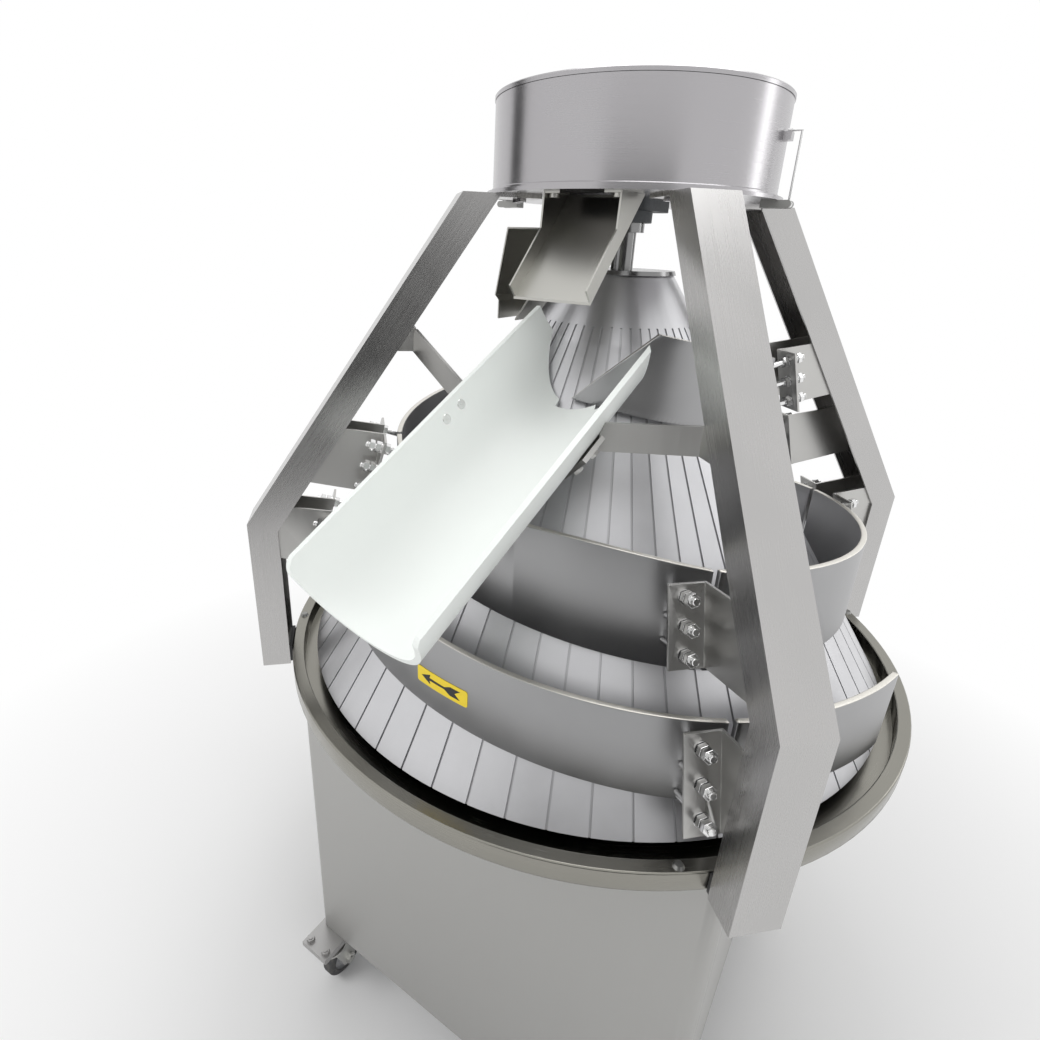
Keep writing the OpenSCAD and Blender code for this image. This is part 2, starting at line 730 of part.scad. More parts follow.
// Segment between two arms
module segment(first, az0, az1, wave = 0) {
    band(first, az0 - band_end_gap, az1 + band_end_gap, wave);
}

track_a_start = 352;
track_b_end = -84;
module track_a0() { band(true, track_a_start, arm_ref + band_end_gap); }
module track_a1() { segment(true, 315, 225); }
module track_a2() { segment(true, 225, 135); }
module track_a3() { segment(true, 135, 45); }
module track_b1() { segment(false, 495, 405); }
module track_b2() { segment(false, 405, 315); }
module track_b3() { segment(false, 315, 225, band_wave); }
module track_b4() { segment(false, 225, 135); }
module track_b5() { segment(false, 135, 45); }
// Last segment of the second track, cut off aslant along the line between two points that are
// given by tangent offset and height, seen from azimuth cut_az
cut_az = -64;
cut_low = [-53.7, track_b_z + 240.5];
cut_high = [37, track_b_z + 320.5];
module track_b6() {
    over = 0.3 * (cut_high - cut_low);
    top = cut_high[1] + band_b_h;
    side = cut_low[0] - band_b_h;
    color("darkgray") difference() {
        band(false, 45 - band_end_gap, track_b_end);
        rotate([0, 0, cut_az]) rotate([90, 0, 90]) linear_extrude(ring_r)
            polygon([cut_low - over, cut_high + over, [cut_high[0] + over[0], top], [side, top],
                [side, cut_low[1] - over[1]]]);
    }
}

// Track brackets

// Arm azimuth, band's lower edge there, the wings' rise above that edge, their height, and the
// angles that the segments before and after the arm span, 0 where the track ends at the arm
BRACKETS = [
    [315, helix_z(track_a_z, 315), 13, bracket_h + 16, track_a_start - 315, 90],
    [225, helix_z(track_a_z, 225), bracket_rise, bracket_h, 90, 90],
    [135, helix_z(track_a_z, 135), bracket_rise, bracket_h, 90, 90],
    [45, helix_z(track_a_z, 45), bracket_rise, bracket_h, 90, 0],
    [135, helix_z(track_b_z, 495), bracket_rise, bracket_h, 0, 90],
    [45, helix_z(track_b_z, 405), bracket_rise, bracket_h, 90, 90],
    [315, helix_z(track_b_z, 315), bracket_rise, bracket_h, 90, 90],
    [225, helix_z(track_b_z, 225), bracket_rise, bracket_h, 90, 90],
    [135, helix_z(track_b_z, 135), bracket_rise, bracket_h, 90, 90],
    [45, helix_z(track_b_z, 45), bracket_rise, bracket_h, 90, 45 - track_b_end]];
gusset_y = arm_in_w / 2 - seat - bracket_t / 2;
wing_y = gusset_y + wing_w / 2;
stud_y = wing_y + 3;
lean_angle = atan(wing_lean);
STUD_AT = [0.16, 0.5, 0.84];

function band_face(z) = cone_r(z) + track_gap + band_t;
function span(b, side) = side > 0 ? b[4] : b[5];
function sides(b) = [for (side = [-1, 1]) if (span(b, side) > 0) side];

// Radius and height of a wing's inner face at share s of its height
function wing_r(b, s) = band_face(b[1]) + wing_standoff + wing_lean * b[3] * (0.5 - s);
function wing_z(b, s) = b[1] + b[2] + b[3] * s;

// Distance from the axis to the band's outer face, along the arm's plane, at tangent offset y
function face_at(b, side, y) =
    let (turn = asin(y / band_face(b[1])),
        z = b[1] - side * turn * track_lead / 360 + band_bulge * sin(180 * turn / span(b, side)))
    sqrt(pow(band_face(z), 2) - y * y);

// The same for the end of a stud, whose leaning round end first meets the band with its rim
function stud_end(b, side) =
    let (r = stud_d / 2,
        x = face_at(b, side, stud_y))
    x + norm([r * sin(lean_angle), face_at(b, side, stud_y - r) - x]) + seat;

// Bent sheets: a gusset inside the arm's channel with a wing beside it, on each side that has a band
module bracket(b) {
    thick = bracket_t / cos(lean_angle);
    tail = arm_t / arm_cos + 2;
    zb = wing_z(b, 0) + 24;
    zt = wing_z(b, 1) + 14;
    low = [wing_r(b, 0), wing_z(b, 0)];
    high = [wing_r(b, 1), wing_z(b, 1)];
    for (side = sides(b)) difference() {
        union() {
            upright(side * gusset_y, bracket_t)
                polygon([low, high, [arm_face(zt) - tail, zt], [arm_face(zb) - tail, zb]]);
            upright(side * wing_y, wing_w + bracket_t)
                polygon([low, high, high + [thick, 0], low + [thick, 0]]);
        }
        for (s = STUD_AT) stud_frame(b, s, side)
            cylinder(d = stud_d + 0.8, h = 4 * stud_d, center = true);
    }
}

// Places a stud's frame on the wing's inner face, its axis square to the wing
module stud_frame(b, s, side) {
    translate([wing_r(b, s), side * stud_y, wing_z(b, s)]) rotate([0, 90 - lean_angle, 0]) children();
}

module track_brackets() {
    color("silver") for (b = BRACKETS) rotate([0, 0, b[0]]) bracket(b);
}

// Stud from the band through the wing, with a nut on each side of the wing and an end nut
module track_studs() {
    nut_h = 0.8 * stud_d;
    nut_w = 1.6 * stud_d;
    color("gainsboro") for (b = BRACKETS, side = sides(b), s = STUD_AT) {
        reach = (wing_r(b, s) - stud_end(b, side)) / cos(lean_angle);
        rotate([0, 0, b[0]]) stud_frame(b, s, side) {
            translate([0, 0, -reach]) cylinder(d = stud_d, h = reach + 22);
            translate([0, 0, bracket_t + 0.05]) hex(nut_w, nut_h);
            translate([0, 0, -nut_h - 0.05]) hex(nut_w, nut_h);
            translate([0, 0, bracket_t + nut_h + 3]) hex(nut_w, nut_h);
        }
    }
}

// Discharge chute

chute_left = -85;
chute_right = 82;
chute_corner_r = [18, 10];
chute_notch_az = 360 + track_b_end - 2.5;
chute_notches = [[chute_notch_az, band_face(helix_z(track_b_z, -71)) + 5],
    [289, band_face(helix_z(track_b_z, -45)) + 5], [303, 222]];
chute_reach = ring_r + chute_over;

// Places the half tube's own frame: Z climbs along it, X is to its right, Y is below it
module at_chute() {
    translate([0, -chute_reach, chute_z]) rotate([0, 0, chute_az - 90])
        rotate([chute_slope - 90, 0, 0]) children();
}

// Half tube between two radii
module chute_solid(r_in, r_out) {
    at_chute() rotate([0, 0, 90 - chute_right]) rotate_extrude(angle = chute_right - chute_left)
        translate([r_in, 0]) square([r_out - r_in, chute_len]);
}

// Half tube whose upper end follows the cone's surface, chute_gap away from it
module chute_shell() {
    difference() {
        chute_solid(chute_r, chute_r + chute_t);
        translate([0, 0, cone_z]) cylinder(r1 = cone_r0 + chute_gap * 1.2, h = cone_h,
            r2 = cone_r(cone_top) + chute_gap * 1.2);
    }
}

module discharge_chute() {
    color("whitesmoke") difference() {
        chute_shell();
        // it stays outside the second track's end, and its right rim ends before the left one
        for (n = chute_notches) rotate([0, 0, n[0]]) rotate_extrude(angle = 353 - n[0])
            square([n[1], 2 * cone_top]);
        chute_corner(chute_left, chute_corner_r[0]);
        chute_corner(chute_right, chute_corner_r[1]);
    }
}

// What is cut away to round the lower corner of the side wall that ends at angle a; its arc
// is a little larger than r, so it crosses both edges instead of only touching them
module chute_corner(a, r) {
    at_chute() translate([a < 0 ? -2 * chute_r : chute_r / 2, chute_r * cos(a), 0]) difference() {
        translate([0, -past, -past]) cube([1.5 * chute_r, past + r, past + r]);
        translate([-past, r, r]) rotate([0, 90, 0]) cylinder(r = 1.03 * r, h = 2 * chute_r);
    }
}

// Flat tab that lies on the outside of the half tube at angle a from its bottom line
module chute_tab(a, s, along, wide, t) {
    at_chute() rotate([0, 0, 90 - a]) translate([chute_r + chute_t + seat, -wide / 2, s - along / 2])
        cube([t, wide, along]);
}

// Point on the outside of the half tube, lift off its wall
function chute_dir() = [cos(chute_az) * cos(chute_slope), sin(chute_az) * cos(chute_slope), sin(chute_slope)];
function chute_side() = [sin(chute_az), -cos(chute_az), 0];
function chute_up() = cross(chute_side(), chute_dir());
function chute_point(a, s, lift) = [0, -chute_reach, chute_z] + s * chute_dir()
    + (chute_r + chute_t + lift) * (sin(a) * chute_side() - cos(a) * chute_up());

// Foot across the open side of an arm's channel, with a cheek where its bar starts
function arm_inner(z) = arm_face(z) - arm_depth / arm_cos - seat;
module support_foot(az, side, z, h, t) {
    low = arm_inner(z - h / 2);
    high = arm_inner(z + h / 2);
    rotate([0, 0, az]) {
        upright(0, arm_w)
            polygon([[low, z - h / 2], [high, z + h / 2], [high - t, z + h / 2], [low - t, z - h / 2]]);
        upright(side * (arm_w - t) / 2, t)
            polygon([[low, z - h / 2], [high, z + h / 2], [high - t, z + h / 2], [high - t, z - h / 2]]);
    }
}
function foot_point(az, side, z, h, t) =
    let (x = arm_inner(z + h / 2) - t / 2, y = side * (arm_w - t) / 2)
    [x * cos(az) - y * sin(az), x * sin(az) + y * cos(az), z];

bar_z = 1133;
bar_h = 29;
bar_t = 5;
bar_tab = [46, 270, 52, 46];
bar_end = [58, 282, bar_t / 2];
tab_bolt_at = [[41, 281], [35, 260]];
strap_z = 1184;
strap_h = 28;
strap_t = 4;
strap_tab = [-74, 244, 84, 28];
strap_end = [-74, 270, strap_t / 2];

// Bar from the front right arm to a bolted tab under the chute's right side, and strap from the
// front left arm to the two screws in its left wall
module chute_supports() {
    color("silver") difference() {
        union() {
            support_foot(315, -1, bar_z, bar_h, bar_t);
            flat_bar(foot_point(315, -1, bar_z, bar_h, bar_t),
                chute_point(bar_end[0], bar_end[1], bar_end[2]), bar_h, bar_t);
            chute_tab(bar_tab[0], bar_tab[1], bar_tab[2], bar_tab[3], bar_t);
            for (b = tab_bolt_at) at_chute() rotate([0, 0, 90 - b[0]])
                translate([chute_r + chute_t + bar_t, 0, b[1]]) rotate([0, 90, 0]) hex(11, 8);
        }
        at_chute() cylinder(r = chute_r + chute_t + seat, h = chute_len);
    }
    color("silver") difference() {
        union() {
            support_foot(225, 1, strap_z, strap_h, strap_t);
            flat_bar(foot_point(225, 1, strap_z, strap_h, strap_t),
                chute_point(strap_end[0], strap_end[1], strap_end[2]), strap_h, strap_t);
            chute_tab(strap_tab[0], strap_tab[1], strap_tab[2], strap_tab[3], strap_t);
        }
        at_chute() cylinder(r = chute_r + chute_t + seat, h = chute_len);
    }
}

// Flour drum

outlet_x = 12;
spout_neck = [28, 50];
spout_x = -cap_r - spout_neck[0] / 2;
spout_y = 20;
// Base plate with the shaft hole, an outlet over each spout and the arms' bolts
module hopper_plate() {
    color("silver") translate([0, 0, plate_z]) difference() {
        cylinder(r = base_plate_r, h = base_plate_t);
        translate([0, 0, -past]) cylinder(r = neck_d / 2 + 3, h = base_plate_t + 2 * past);
        translate([outlet_x, -112, -past]) block(54, 24, base_plate_t + 2 * past);
        translate([spout_x, spout_y, -past])
            block(spout_neck[0] - 8, spout_neck[1] - 8, base_plate_t + 2 * past);
        for (az = ARM_AZ) rotate([0, 0, az]) for (y = [-12, 12])
            translate([lug_hole_r, y, -past]) cylinder(d = 7, h = base_plate_t + 2 * past);
    }
    color("gainsboro") for (az = ARM_AZ) rotate([0, 0, az]) for (y = [-12, 12])
        translate([lug_hole_r, y, plate_z - lug_t - 0.05]) bolt_up(6, base_plate_t + lug_t + 1);
}

// Flange bearing under the base plate that steadies the top of the shaft
module top_bearing() {
    color("dimgray") translate([0, 0, plate_z]) mirror([0, 0, 1])
        flange_bearing(82, 12, 31, plate_z - bearing_low, neck_d / 2 + run_fit, 31);
}

// Drum's wall with a flange turned in at its foot and a keeper ledge for each latch
module flour_drum() {
    foot_in = drum_r - drum_t - 6;
    color("silver") {
        translate([0, 0, drum_z]) rotate_extrude() polygon([[foot_in, 0], [drum_r + 1, 0], [drum_r + 1, 3],
            [drum_r, 4], [drum_r, drum_h], [drum_r - drum_t, drum_h], [drum_r - drum_t, drum_t],
            [foot_in, drum_t]]);
        for (az = [0, 180]) rotate([0, 0, az]) translate([drum_r - join, -7, keeper_z - 8])
            cube([8 + join, 14, 8]);
    }
}

// Lid with a folded edge and a locating rim inside the drum
module drum_lid() {
    rim_r = drum_r - drum_t - 0.5;
    sheet = 2;
    color("silver") translate([0, 0, drum_top + seat]) rotate_extrude() polygon([[0, lid_t - sheet],
        [rim_r - sheet, lid_t - sheet], [rim_r - sheet, -8], [rim_r, -8], [rim_r, 0], [drum_r + 1, 0],
        [drum_r + 1, lid_t - 1.2], [drum_r - 0.2, lid_t], [0, lid_t]]);
}

// Hub on the shaft with two swept blades that push flour over the outlets
module agitator() {
    sweep = drum_r - drum_t - 12;
    color("gray") translate([0, 0, drum_z]) difference() {
        union() {
            translate([0, 0, 2]) cylinder(r = 24, h = 40);
            for (a = [20, 200]) rotate([0, 0, a]) {
                translate([14, -2, 2]) cube([sweep - 14, 4, 16]);
                translate([sweep - 40, -2, 2]) rotate([0, 0, 24]) cube([36, 3, 22]);
            }
        }
        translate([0, 0, -past]) cylinder(r = neck_d / 2 + 0.02, h = 100);
    }
}

// Sloping U channel under the front outlet, hung by its raised flange corners
trough_top_y = -97;
trough_sheet = 2;
module flour_trough() {
    drop_y = trough_len * cos(trough_slope);
    drop_z = trough_len * sin(trough_slope);
    ear = 20;
    top = plate_z - 0.05;
    lip_y = trough_top_y - drop_y;
    lip_z = top - trough_sheet - drop_z;
    up_y = trough_flange * sin(trough_slope);
    up_z = trough_flange * cos(trough_slope);
    sheet_z = trough_sheet / cos(trough_slope);
    color("silver") translate([outlet_x, 0, 0]) {
        rotate([90, 0, 90]) translate([0, 0, -trough_w / 2]) linear_extrude(trough_w)
            polygon([[trough_top_y, top], [lip_y, lip_z], [lip_y, lip_z - sheet_z],
                [trough_top_y + sheet_z, top - sheet_z + trough_sheet], [trough_top_y + sheet_z, top]]);
        for (side = [-1, 1]) {
            rotate([90, 0, 90]) translate([0, 0, side * (trough_w - trough_sheet) / 2 - trough_sheet / 2])
                linear_extrude(trough_sheet) polygon([[trough_top_y + 1, top], [lip_y, lip_z],
                    [lip_y - up_y, lip_z + up_z],
                    [trough_top_y - 50 - up_y, top - 50 * tan(trough_slope) + up_z],
                    [trough_top_y - 58, top]]);
            translate([side * (trough_w - ear) / 2, trough_top_y - 46, top - trough_sheet])
                block(ear, 24, trough_sheet);
            translate([side * (trough_w / 2 - 8), trough_top_y - 47, top - trough_sheet - 4])
                cylinder(d = 12, h = 5);
        }
    }
}

// Folded sheet spout behind the trough, open to the front and below, hung from the base plate
spout_t = 2;
spout_front = 52;
spout_depth = 100;
spout_gap = 13;
spout_low = 152;
spout_mid = 112;
module rear_spout() {
    left = drum_r - 9;
    low = cone_r(plate_z - spout_low) + spout_gap;
    mid = cone_r(plate_z - spout_mid) + spout_gap;
    t = spout_t;
    color("silver") translate([0, 0, plate_z]) difference() {
        union() {
            translate([0, spout_depth - spout_front, 0]) rotate([90, 0, 0]) linear_extrude(spout_depth)
                polygon([[-cap_r, -34], [-left + 16, -34], [-left, -121], [-left + 6, -127],
                    [-left + 6, -spout_low], [-low, -spout_low], [-mid, -spout_mid],
                    [-cap_r - 8, -68], [-cap_r, -68]]);
            translate([spout_x, spout_y, -34 - join])
                block(spout_neck[0], spout_neck[1], 34 + join - run_fit);
        }
        translate([0, spout_depth - spout_front - t, 0]) rotate([90, 0, 0]) linear_extrude(spout_depth)
            polygon([[-cap_r - t, -34 - t], [-left + 16 + t, -34 - t], [-left + t, -121],
                [-left + 6 + t, -128], [-left + 6 + t, -spout_low - past], [-low - t, -spout_low - past],
                [-low - t, -spout_low + t], [-mid - t, -spout_mid + t], [-cap_r - 8 - t, -68 + t],
                [-cap_r - t, -68 + t]]);
        translate([spout_x, spout_y, -34 - 2 * t]) block(spout_neck[0] - 4, spout_neck[1] - 4, 60);
    }
}

// Latches that hold the drum down on the base plate
clevis_in = 18;
clevis_out = 10;
latch_r = base_plate_r + clevis_out;
latch_z = plate_z - 4;
latch_pin_d = 4;
latch_gap = 8;
keeper_z = drum_z + 62;
hook_d = 3;

// Clevis under the plate's rim with a cross pin, one for each hook
module latch_clevises() {
    ear = 5;
    color("gray") for (az = [0, 180]) rotate([0, 0, az]) {
        difference() {
            union() {
                translate([base_plate_r - clevis_in, -latch_gap / 2 - ear, plate_z - 8])
                    cube([clevis_in + clevis_out, latch_gap + 2 * ear, 8 - run_fit]);
                translate([latch_r, latch_gap / 2 + ear, latch_z]) rotate([90, 0, 0])
                    cylinder(d = 8, h = latch_gap + 2 * ear);
            }
            translate([base_plate_r - 3, -latch_gap / 2, plate_z - 20]) cube([30, latch_gap, 40]);
        }
        translate([latch_r, latch_gap / 2 + join, latch_z]) rotate([90, 0, 0])
            cylinder(d = latch_pin_d, h = latch_gap + 2 * join);
    }
}

// Wire hook: an eye on the pin, a straight leg up the drum's side and a tip over its keeper
module latch_hook(az) {
    tip_z = keeper_z + seat + hook_d / 2;
    color("silver") rotate([0, 0, az]) translate([latch_r, 0, 0]) difference() {
        union() {
            translate([0, latch_gap / 2 - seat, latch_z]) rotate([90, 0, 0])
                cylinder(d = 7.5, h = latch_gap - 2 * seat);
            translate([0, 0, latch_z + 3]) cylinder(d = hook_d, h = tip_z - latch_z - 3);
            translate([0, 0, tip_z]) sphere(d = hook_d);
            translate([0, 0, tip_z]) rotate([0, -90, 0]) cylinder(d = hook_d, h = latch_r - drum_r - 2.5);
        }
        translate([0, latch_gap, latch_z]) rotate([90, 0, 0])
            cylinder(d = latch_pin_d + 2 * run_fit, h = 2 * latch_gap);
    }
}
module latch_hook_right() { latch_hook(0); }
module latch_hook_left() { latch_hook(180); }

// Controls on the left side

control_y = 60;
control_z = ring_z - 40 - control_h;
control_x = -half_w - control_d;
button_z = [control_z + control_h - 45, control_z + control_h - 90];
button_travel = 4;
control_wall = 3;
stop_z = control_z + 45;

// Closed housing with three round openings in its face and a gland below
module control_box() {
    color("gainsboro") difference() {
        union() {
            translate([control_x, control_y - control_w / 2, control_z])
                cube([control_d - run_fit, control_w, control_h]);
            translate([control_x + 26, control_y + 30, control_z - 22]) cylinder(d = 20, h = 22 + join);
            translate([control_x + 26, control_y + 30, control_z - 10]) hex(26, 10);
        }
        translate([control_x, control_y - control_w / 2, control_z] + control_wall * [1, 1, 1])
            cube([control_d, control_w - 2 * control_wall, control_h - 2 * control_wall]);
        for (z = concat(button_z, [stop_z])) translate([control_x - past, control_y, z]) rotate([0, 90, 0])
            cylinder(d = button_d - 4 + 2 * seat, h = 2 * past);
        translate([control_x + 26, control_y + 30, control_z - 30]) cylinder(d = 11, h = 60);
    }
}

// Push button: a stem through the housing with a broad head outside
module button(z, head_d, head_t) {
    translate([control_x, control_y, z]) rotate([0, -90, 0]) {
        translate([0, 0, -18]) cylinder(d = button_d - 4, h = 18 + button_travel + seat + join);
        translate([0, 0, -19]) cylinder(d = button_d + 2, h = 19 - control_wall - seat);
        translate([0, 0, button_travel + seat]) cylinder(d = head_d, h = head_t);
    }
}
module start_button() { color("green") button(button_z[0], button_d, 6); }
module stop_button() { color("red") button(button_z[1], button_d, 6); }
module emergency_stop() { color("red") button(stop_z, mushroom_d, 14); }

foot_bars();
caster_plates();
caster_fork_fl();
caster_fork_fr();
caster_fork_rl();
caster_fork_rr();
caster_wheel_fl();
caster_wheel_fr();
caster_wheel_rl();
caster_wheel_rr();
frame_tubes();
front_panel();
rear_panel();
left_panel();
right_panel();
drive_plate();
gearmotor();
drive_pulley();
drive_belt();
driven_pulley();
shaft_bearings();
main_shaft();
cone_spider();
cone();
cone_cap();
base_pan();
arm_front_left();
arm_front_right();
arm_rear_right();
arm_rear_left();
arm_feet();
arm_pads();
track_a0();
track_a1();
track_a2();
track_a3();
track_b1();
track_b2();
track_b3();
track_b4();
track_b5();
track_b6();
track_brackets();
track_studs();
discharge_chute();
chute_supports();
hopper_plate();
top_bearing();
flour_drum();
drum_lid();
agitator();
flour_trough();
rear_spout();
latch_clevises();
latch_hook_right();
latch_hook_left();
control_box();
start_button();
stop_button();
emergency_stop();
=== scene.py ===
import math

import bmesh
import bpy
from mathutils import Matrix, Vector


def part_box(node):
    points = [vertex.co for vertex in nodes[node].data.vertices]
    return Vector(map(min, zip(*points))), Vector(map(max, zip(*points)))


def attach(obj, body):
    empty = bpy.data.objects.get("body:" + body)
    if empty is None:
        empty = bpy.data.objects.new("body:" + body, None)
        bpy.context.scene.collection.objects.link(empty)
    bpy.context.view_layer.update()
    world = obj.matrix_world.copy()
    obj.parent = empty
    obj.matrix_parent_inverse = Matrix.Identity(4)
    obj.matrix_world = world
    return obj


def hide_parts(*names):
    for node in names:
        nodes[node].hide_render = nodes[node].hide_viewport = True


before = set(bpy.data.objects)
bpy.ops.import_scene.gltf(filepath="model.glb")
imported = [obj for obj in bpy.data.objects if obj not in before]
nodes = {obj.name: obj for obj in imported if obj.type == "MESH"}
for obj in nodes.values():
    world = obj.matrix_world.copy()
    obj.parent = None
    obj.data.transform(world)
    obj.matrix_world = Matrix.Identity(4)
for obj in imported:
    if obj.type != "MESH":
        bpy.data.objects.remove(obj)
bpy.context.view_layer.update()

# Foot bars and caster plates: flat stainless bar, cut to length and left with its mill grain
# along the bar. Everything else stands on them. The two classes that build every material
# and node group are defined here, at their first use.


class Wire:
    """One value between two nodes. Arithmetic on it adds Math nodes."""

    def __init__(self, net, socket):
        self.net = net
        self.socket = socket

    def __add__(self, other):
        return self.net.math("ADD", self, other)

    def __radd__(self, other):
        return self.net.math("ADD", other, self)

    def __sub__(self, other):
        return self.net.math("SUBTRACT", self, other)

    def __rsub__(self, other):
        return self.net.math("SUBTRACT", other, self)

    def __mul__(self, other):
        return self.net.math("MULTIPLY", self, other)

    def __rmul__(self, other):
        return self.net.math("MULTIPLY", other, self)

    def __truediv__(self, other):
        return self.net.math("DIVIDE", self, other)

    def __rtruediv__(self, other):
        return self.net.math("DIVIDE", other, self)

    def __pow__(self, other):
        return self.net.math("POWER", self, other)

    def __rpow__(self, other):
        return self.net.math("POWER", other, self)

    def clamped(self):
        return self.net.node("ShaderNodeClamp", inputs={0: self})

    def over(self, edge, soft):
        """0 below edge and 1 above it, with a ramp of that softness."""
        return ((self - edge) / soft + 0.5).clamped()


class Net:
    """A node tree under construction. node() adds one node and returns one of its outputs."""

    def __init__(self, tree):
        self.tree = tree

    def node(self, kind, settings=None, inputs=None, out=0):
        made = self.tree.nodes.new(kind)
        for key, value in (settings or {}).items():
            setattr(made, key, value)
        for key, value in (inputs or {}).items():
            if isinstance(value, Wire):
                self.tree.links.new(value.socket, made.inputs[key])
            else:
                made.inputs[key].default_value = value
        return Wire(self, made.outputs[out])

    def math(self, operation, *values):
        return self.node("ShaderNodeMath", {"operation": operation}, dict(enumerate(values)))


class Finish(Net):
    """A material. What is the same all over stands on the shader's own sockets."""

    def __init__(self, name, color, roughness, metallic=0.0, **own):
        self.material = bpy.data.materials.new(name)
        self.material.use_nodes = True
        super().__init__(self.material.node_tree)
        self.shader = self.tree.nodes["Principled BSDF"]
        self.color = color
        own = {"Base Color": (*color, 1.0), "Roughness": roughness, "Metallic": metallic, **own}
        for key, value in own.items():
            self.shader.inputs[key].default_value = value
        self.point = self.node("ShaderNodeTexCoord", out="Object")
        split = self.node("ShaderNodeSeparateXYZ", inputs={0: self.point}).socket.node
        self.x, self.y, self.z = (Wire(self, split.outputs[k]) for k in range(3))
        self.radius = (self.x * self.x + self.y * self.y) ** 0.5
        self.turn = self.math("ARCTAN2", self.y, self.x)

    def noise(self, u, v, w, detail=2.0):
        at = self.node("ShaderNodeCombineXYZ", inputs={0: u, 1: v, 2: w})
        return self.node("ShaderNodeTexNoise",
                         inputs={"Vector": at, "Scale": 1.0, "Detail": detail})

    def even(self, scale, detail=3.0):
        """Noise of the same scale in every direction."""
        return self.node("ShaderNodeTexNoise",
                         inputs={"Vector": self.point, "Scale": scale, "Detail": detail})

    def shade(self, factor):
        return tuple(min(1.0, c * factor) for c in self.color) + (1.0,)

    def mix(self, share, a, b):
        return self.node("ShaderNodeMix", {"data_type": "RGBA"}, {0: share, 6: a, 7: b}, out=2)

    def bump(self, height, distance, strength=1.0):
        return self.node("ShaderNodeBump",
                         inputs={"Height": height, "Distance": distance, "Strength": strength})

    def feed(self, socket, wire):
        self.tree.links.new(wire.socket, self.shader.inputs[socket])


FINE, LONG = 1300.0, 14.0  # noise scale across the grain and along it


def along(axis):
    """Grain direction: fine across the other two axes, long along this one."""
    return lambda f: [w * (LONG if k == axis else FINE) for k, w in zip("xyz", (f.x, f.y, f.z))]


def brushed(name, color, grain, roughness=0.3, contrast=0.10, cloudy=0.10, **own):
    """Brushed or ground metal: fine scratches along the grain and a soft cloudiness."""
    f = Finish(name, color, roughness, 1.0, **own)
    line = f.noise(*grain(f), detail=3.0)
    cloud = f.even(9.0)
    mark = (line - 0.5) * contrast * 1.6 + (cloud - 0.5) * cloudy * 3.0
    f.feed("Base Color", f.mix((mark + 0.5).clamped(), f.shade(0.72), f.shade(1.28)))
    f.feed("Roughness", (roughness + (line - 0.5) * 0.14 + (cloud - 0.5) * 0.16).clamped())
    f.feed("Normal", f.bump(line, 0.00003, 0.25))
    return f.material


def round_edges(piece, width, segments, degrees):
    """Bevels the edges where two faces meet at more than this angle."""
    edge = piece.modifiers.new("edge", "BEVEL")
    edge.width = width
    edge.segments = segments
    edge.limit_method = "ANGLE"
    edge.angle_limit = math.radians(degrees)
    return edge


def dress(names, material, bevel=0.0):
    """Gives CAD nodes their material, and a small rounding of the sharp edges."""
    for name in names:
        node = nodes[name]
        node.data.materials.clear()
        node.data.materials.append(material)
        if bevel:
            weld = node.modifiers.new("weld", "WELD")
            weld.merge_threshold = 0.00001
            round_edges(node, bevel, 2, 40).harden_normals = True


STEEL = (0.44, 0.435, 0.43)
bar_steel = brushed("bar_steel", STEEL, along("y"), 0.34)
dress(["foot_bars", "caster_plates"], bar_steel)

# Casters: pressed and zinc-plated forks that swivel under the plates, and wheels with a gray
# rubber tyre moulded on a nylon rim. Each wheel is turned as one profile, in its own body.


def linked(name, data):
    """Makes an object of this data and links it into the scene."""
    made = bpy.data.objects.new(name, data)
    bpy.context.scene.collection.objects.link(made)
    return made


def mesh_piece(name, verts, faces, material, smooth=True):
    """An object of these vertices and faces, its doubles merged and its normals outward."""
    mesh = bpy.data.meshes.new(name)
    mesh.from_pydata(verts, [], faces)
    mesh.validate()
    piece = linked(name, mesh)
    mesh.materials.append(material)
    work = bmesh.new()
    work.from_mesh(mesh)
    bmesh.ops.remove_doubles(work, verts=work.verts, dist=1e-6)
    bmesh.ops.recalc_face_normals(work, faces=work.faces)
    work.to_mesh(mesh)
    work.free()
    for face in mesh.polygons:
        face.use_smooth = smooth
    return piece


def lathe(name, profile, place, material, steps=64):
    """Turns a closed profile of (radius, height) about local Z; place is a 4x4 matrix."""
    verts = []
    for k in range(steps):
        a = 2 * math.pi * k / steps
        verts += [place @ Vector((r * math.cos(a), r * math.sin(a), h)) for r, h in profile]
    m = len(profile)
    faces = []
    for k in range(steps):
        for j in range(m):
            a, b = k * m + j, k * m + (j + 1) % m
            c, d = (k + 1) % steps * m + (j + 1) % m, (k + 1) % steps * m + j
            faces.append((a, b, c, d))
    return mesh_piece(name, verts, faces, material)


def sharpen(piece, angle=35):
    """Smooth faces, but a crisp line where two faces meet at more than this angle."""
    limit = math.radians(angle)
    work = bmesh.new()
    work.from_mesh(piece.data)
    for edge in work.edges:
        edge.smooth = len(edge.link_faces) == 2 and edge.calc_face_angle(0) < limit
    work.to_mesh(piece.data)
    work.free()


CORNERS = ("fl", "fr", "rl", "rr")
zinc = brushed("zinc_plate", (0.55, 0.55, 0.53), along("z"), 0.3, cloudy=0.2)
dress([f"caster_fork_{code}" for code in CORNERS], zinc)

